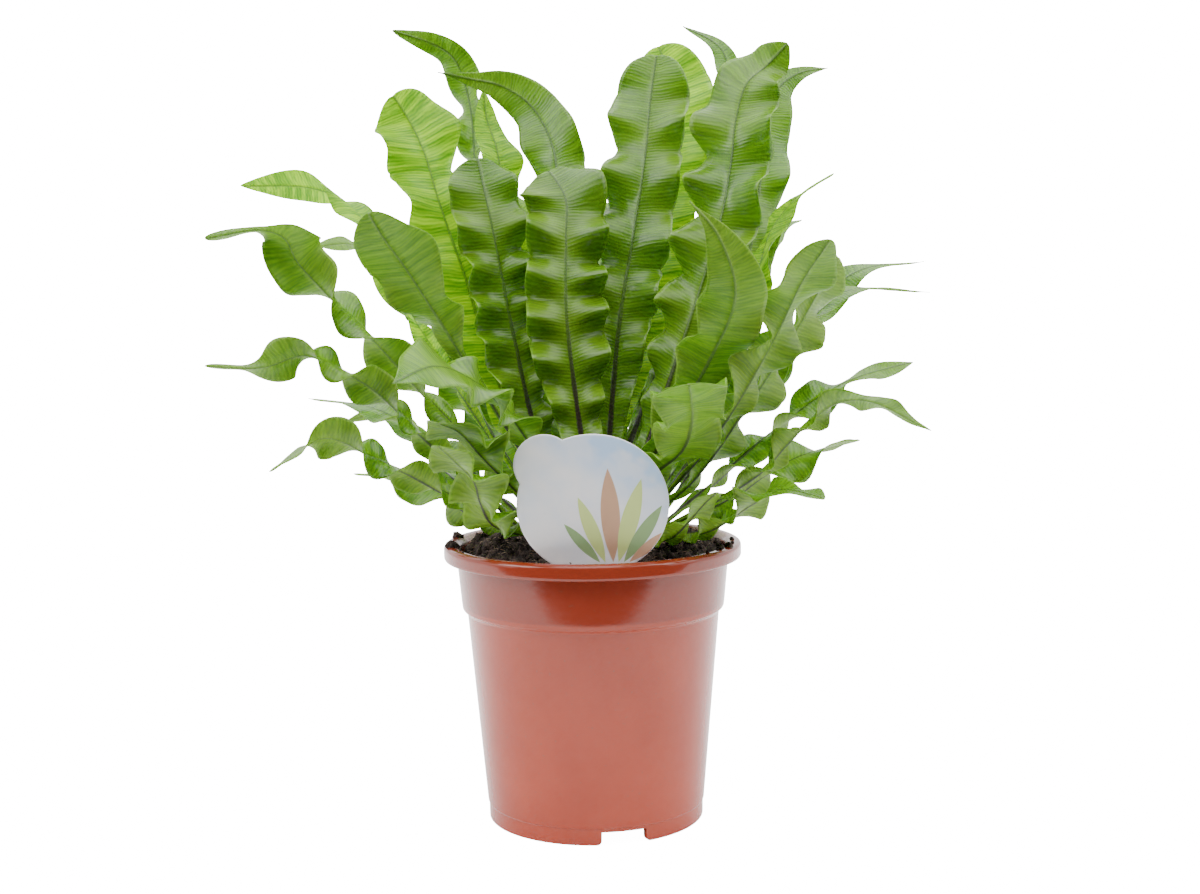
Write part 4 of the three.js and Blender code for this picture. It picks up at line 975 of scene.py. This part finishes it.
tag_print, tree, surface = new_material("tag_print")
marks = placed(tree, grain, **{"Size": 0.02, "Speck size": 0.0009})
print_map = node(tree, "UVMap", uv_map="surface").outputs[0]
flat = node(tree, "SeparateXYZ", {0: print_map}).outputs
x = math(tree, "MULTIPLY", math(tree, "SUBTRACT", flat["X"], 0.5), TAG_UV)
y = math(tree, "MULTIPLY", math(tree, "SUBTRACT", flat["Y"], 0.5), TAG_UV)
haze = noise(tree, print_map, 7.0, 2.0)
colour = blend(tree, math(tree, "MULTIPLY", marks["Blotch"], 0.3), CARD_WHITE, CARD_BLUE)
slant = math(tree, "ADD", y, math(tree, "MULTIPLY", x, 0.6))
wash = math(tree, "MULTIPLY", span(tree, slant, 6.0, 24.0), span(tree, haze, 0.4, 0.6, 0.45, 1.0))
colour = blend(tree, wash, colour, CARD_BLUE)
for left, low, angle, long, tint in TUFT:
    middle = (left + np.cos(angle) * long / 2, low + np.sin(angle) * long / 2)
    mask = placed(tree, motif, X=middle[0], Y=middle[1], Angle=angle, Length=long)["Mask"]
    colour = blend(tree, mask, colour, tint)
tree.links.new(node(tree, "BsdfPrincipled", {
    "Base Color": colour, "Roughness": span(tree, marks["Blotch"], 0, 1, 0.38, 0.46),
    "IOR": 1.5}).outputs[0], surface)

tag_plastic, tree, surface = new_material("tag_plastic")
marks = placed(tree, grain, **{"Size": 0.02, "Speck size": 0.0009})
colour = blend(tree, math(tree, "MULTIPLY", marks["Blotch"], 0.4), CARD_WHITE, CARD_BARE)
colour = blend(tree, math(tree, "MULTIPLY", marks["Speck"], 0.3), colour, PEAT_DUST)
tree.links.new(node(tree, "BsdfPrincipled", {
    "Base Color": colour, "Roughness": span(tree, marks["Blotch"], 0, 1, 0.4, 0.5)}).outputs[0], surface)

points, faces, slots, uv = tag_card()
card = add_piece("tag_card", points, faces, [tag_print, tag_plastic], slots, uv)
stake = add_piece("tag_stake", *tag_stake(), [tag_plastic])
for piece in (card, stake):
    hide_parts("care_tag")

# The studio: a white sweep under a bright white surround that is dimmer towards the camera,
# two large soft lamps, and the camera a little above the pot, at the photograph's angle.

CAMERA_AT = (0.0036, -0.6772, 0.2202)
CAMERA_DOWN, CAMERA_ROLL, CAMERA_LENS = 0.1028, -0.0144, 50.73
BACKDROP_WHITE, FLOOR_WHITE = 22.0, 15.0
SWEEP_FRONT, SWEEP_GREY, SWEEP_DARK = -0.235, (0.85, 0.85, 0.85, 1), (0.03, 0.03, 0.03, 1)
DARK_ROOM, SIDE_LIGHT, TOP_LIGHT = 0.12, 2.0, 5.2

floor_mesh = bpy.data.meshes.new("floor")
floor_mesh.from_pydata([(-6, -6, 0), (6, -6, 0), (6, 6, 0), (-6, 6, 0)], [], [(0, 1, 2, 3)])
floor = bpy.data.objects.new("floor", floor_mesh)
bpy.context.scene.collection.objects.link(floor)
floor_white, tree, surface = new_material("floor_white")
seen = node(tree, "LightPath").outputs["Is Camera Ray"]
ahead = node(tree, "SeparateXYZ", {0: node(tree, "TexCoord").outputs["Object"]}).outputs["Y"]
reached = span(tree, ahead, SWEEP_FRONT - 0.02, SWEEP_FRONT + 0.02)
lit = blend(tree, reached, SWEEP_DARK, SWEEP_GREY)
shade = node(tree, "BsdfDiffuse", {"Color": lit}).outputs[0]
strength = math(tree, "MULTIPLY", seen, FLOOR_WHITE)
bright = node(tree, "Emission", {"Color": (1, 1, 1, 1), "Strength": strength}).outputs[0]
tree.links.new(node(tree, "AddShader", {0: shade, 1: bright}).outputs[0], surface)
floor_mesh.materials.append(floor_white)

world = bpy.data.worlds.new("studio")
world.use_nodes = True
tree = world.node_tree
tree.nodes.clear()
way = node(tree, "SeparateXYZ", {0: node(tree, "TexCoord").outputs["Generated"]}).outputs
beside = span(tree, way["Y"], -0.54, -0.46, DARK_ROOM, SIDE_LIGHT)
above = span(tree, way["Z"], 0.58, 0.8)
light = math(tree, "ADD", math(tree, "MULTIPLY", beside, math(tree, "SUBTRACT", 1.0, above)),
             math(tree, "MULTIPLY", above, TOP_LIGHT))
seen = node(tree, "LightPath").outputs["Is Camera Ray"]
strength = math(tree, "ADD", math(tree, "MULTIPLY", light, math(tree, "SUBTRACT", 1.0, seen)),
                math(tree, "MULTIPLY", seen, BACKDROP_WHITE))
back = node(tree, "Background", {"Color": (1, 1, 1, 1), "Strength": strength})
tree.links.new(back.outputs[0], tree.nodes.new("ShaderNodeOutputWorld").inputs["Surface"])
bpy.context.scene.world = world


def soft_lamp(name, at, towards, size, power):
    """A square lamp that faces a point."""
    data = bpy.data.lights.new(name, "AREA")
    data.shape, data.size, data.energy = "SQUARE", size, power
    lamp = bpy.data.objects.new(name, data)
    look = (Vector(towards) - Vector(at)).to_track_quat("-Z", "Y")
    lamp.matrix_world = Matrix.Translation(at) @ look.to_matrix().to_4x4()
    bpy.context.scene.collection.objects.link(lamp)


soft_lamp("lamp_left", (-1.0, -0.5, 0.9), (0, 0, 0.16), 0.7, 10)
soft_lamp("lamp_right", (1.1, -0.3, 0.9), (0, 0, 0.16), 0.7, 7)

camera_data = bpy.data.cameras.new("camera")
camera_data.lens, camera_data.sensor_width = CAMERA_LENS, 36
camera = bpy.data.objects.new("camera", camera_data)
camera.matrix_world = (Matrix.Translation(CAMERA_AT) @ Matrix.Rotation(np.pi / 2 - CAMERA_DOWN, 4, "X")
                       @ Matrix.Rotation(CAMERA_ROLL, 4, "Z"))
bpy.context.scene.collection.objects.link(camera)
bpy.context.scene.camera = camera
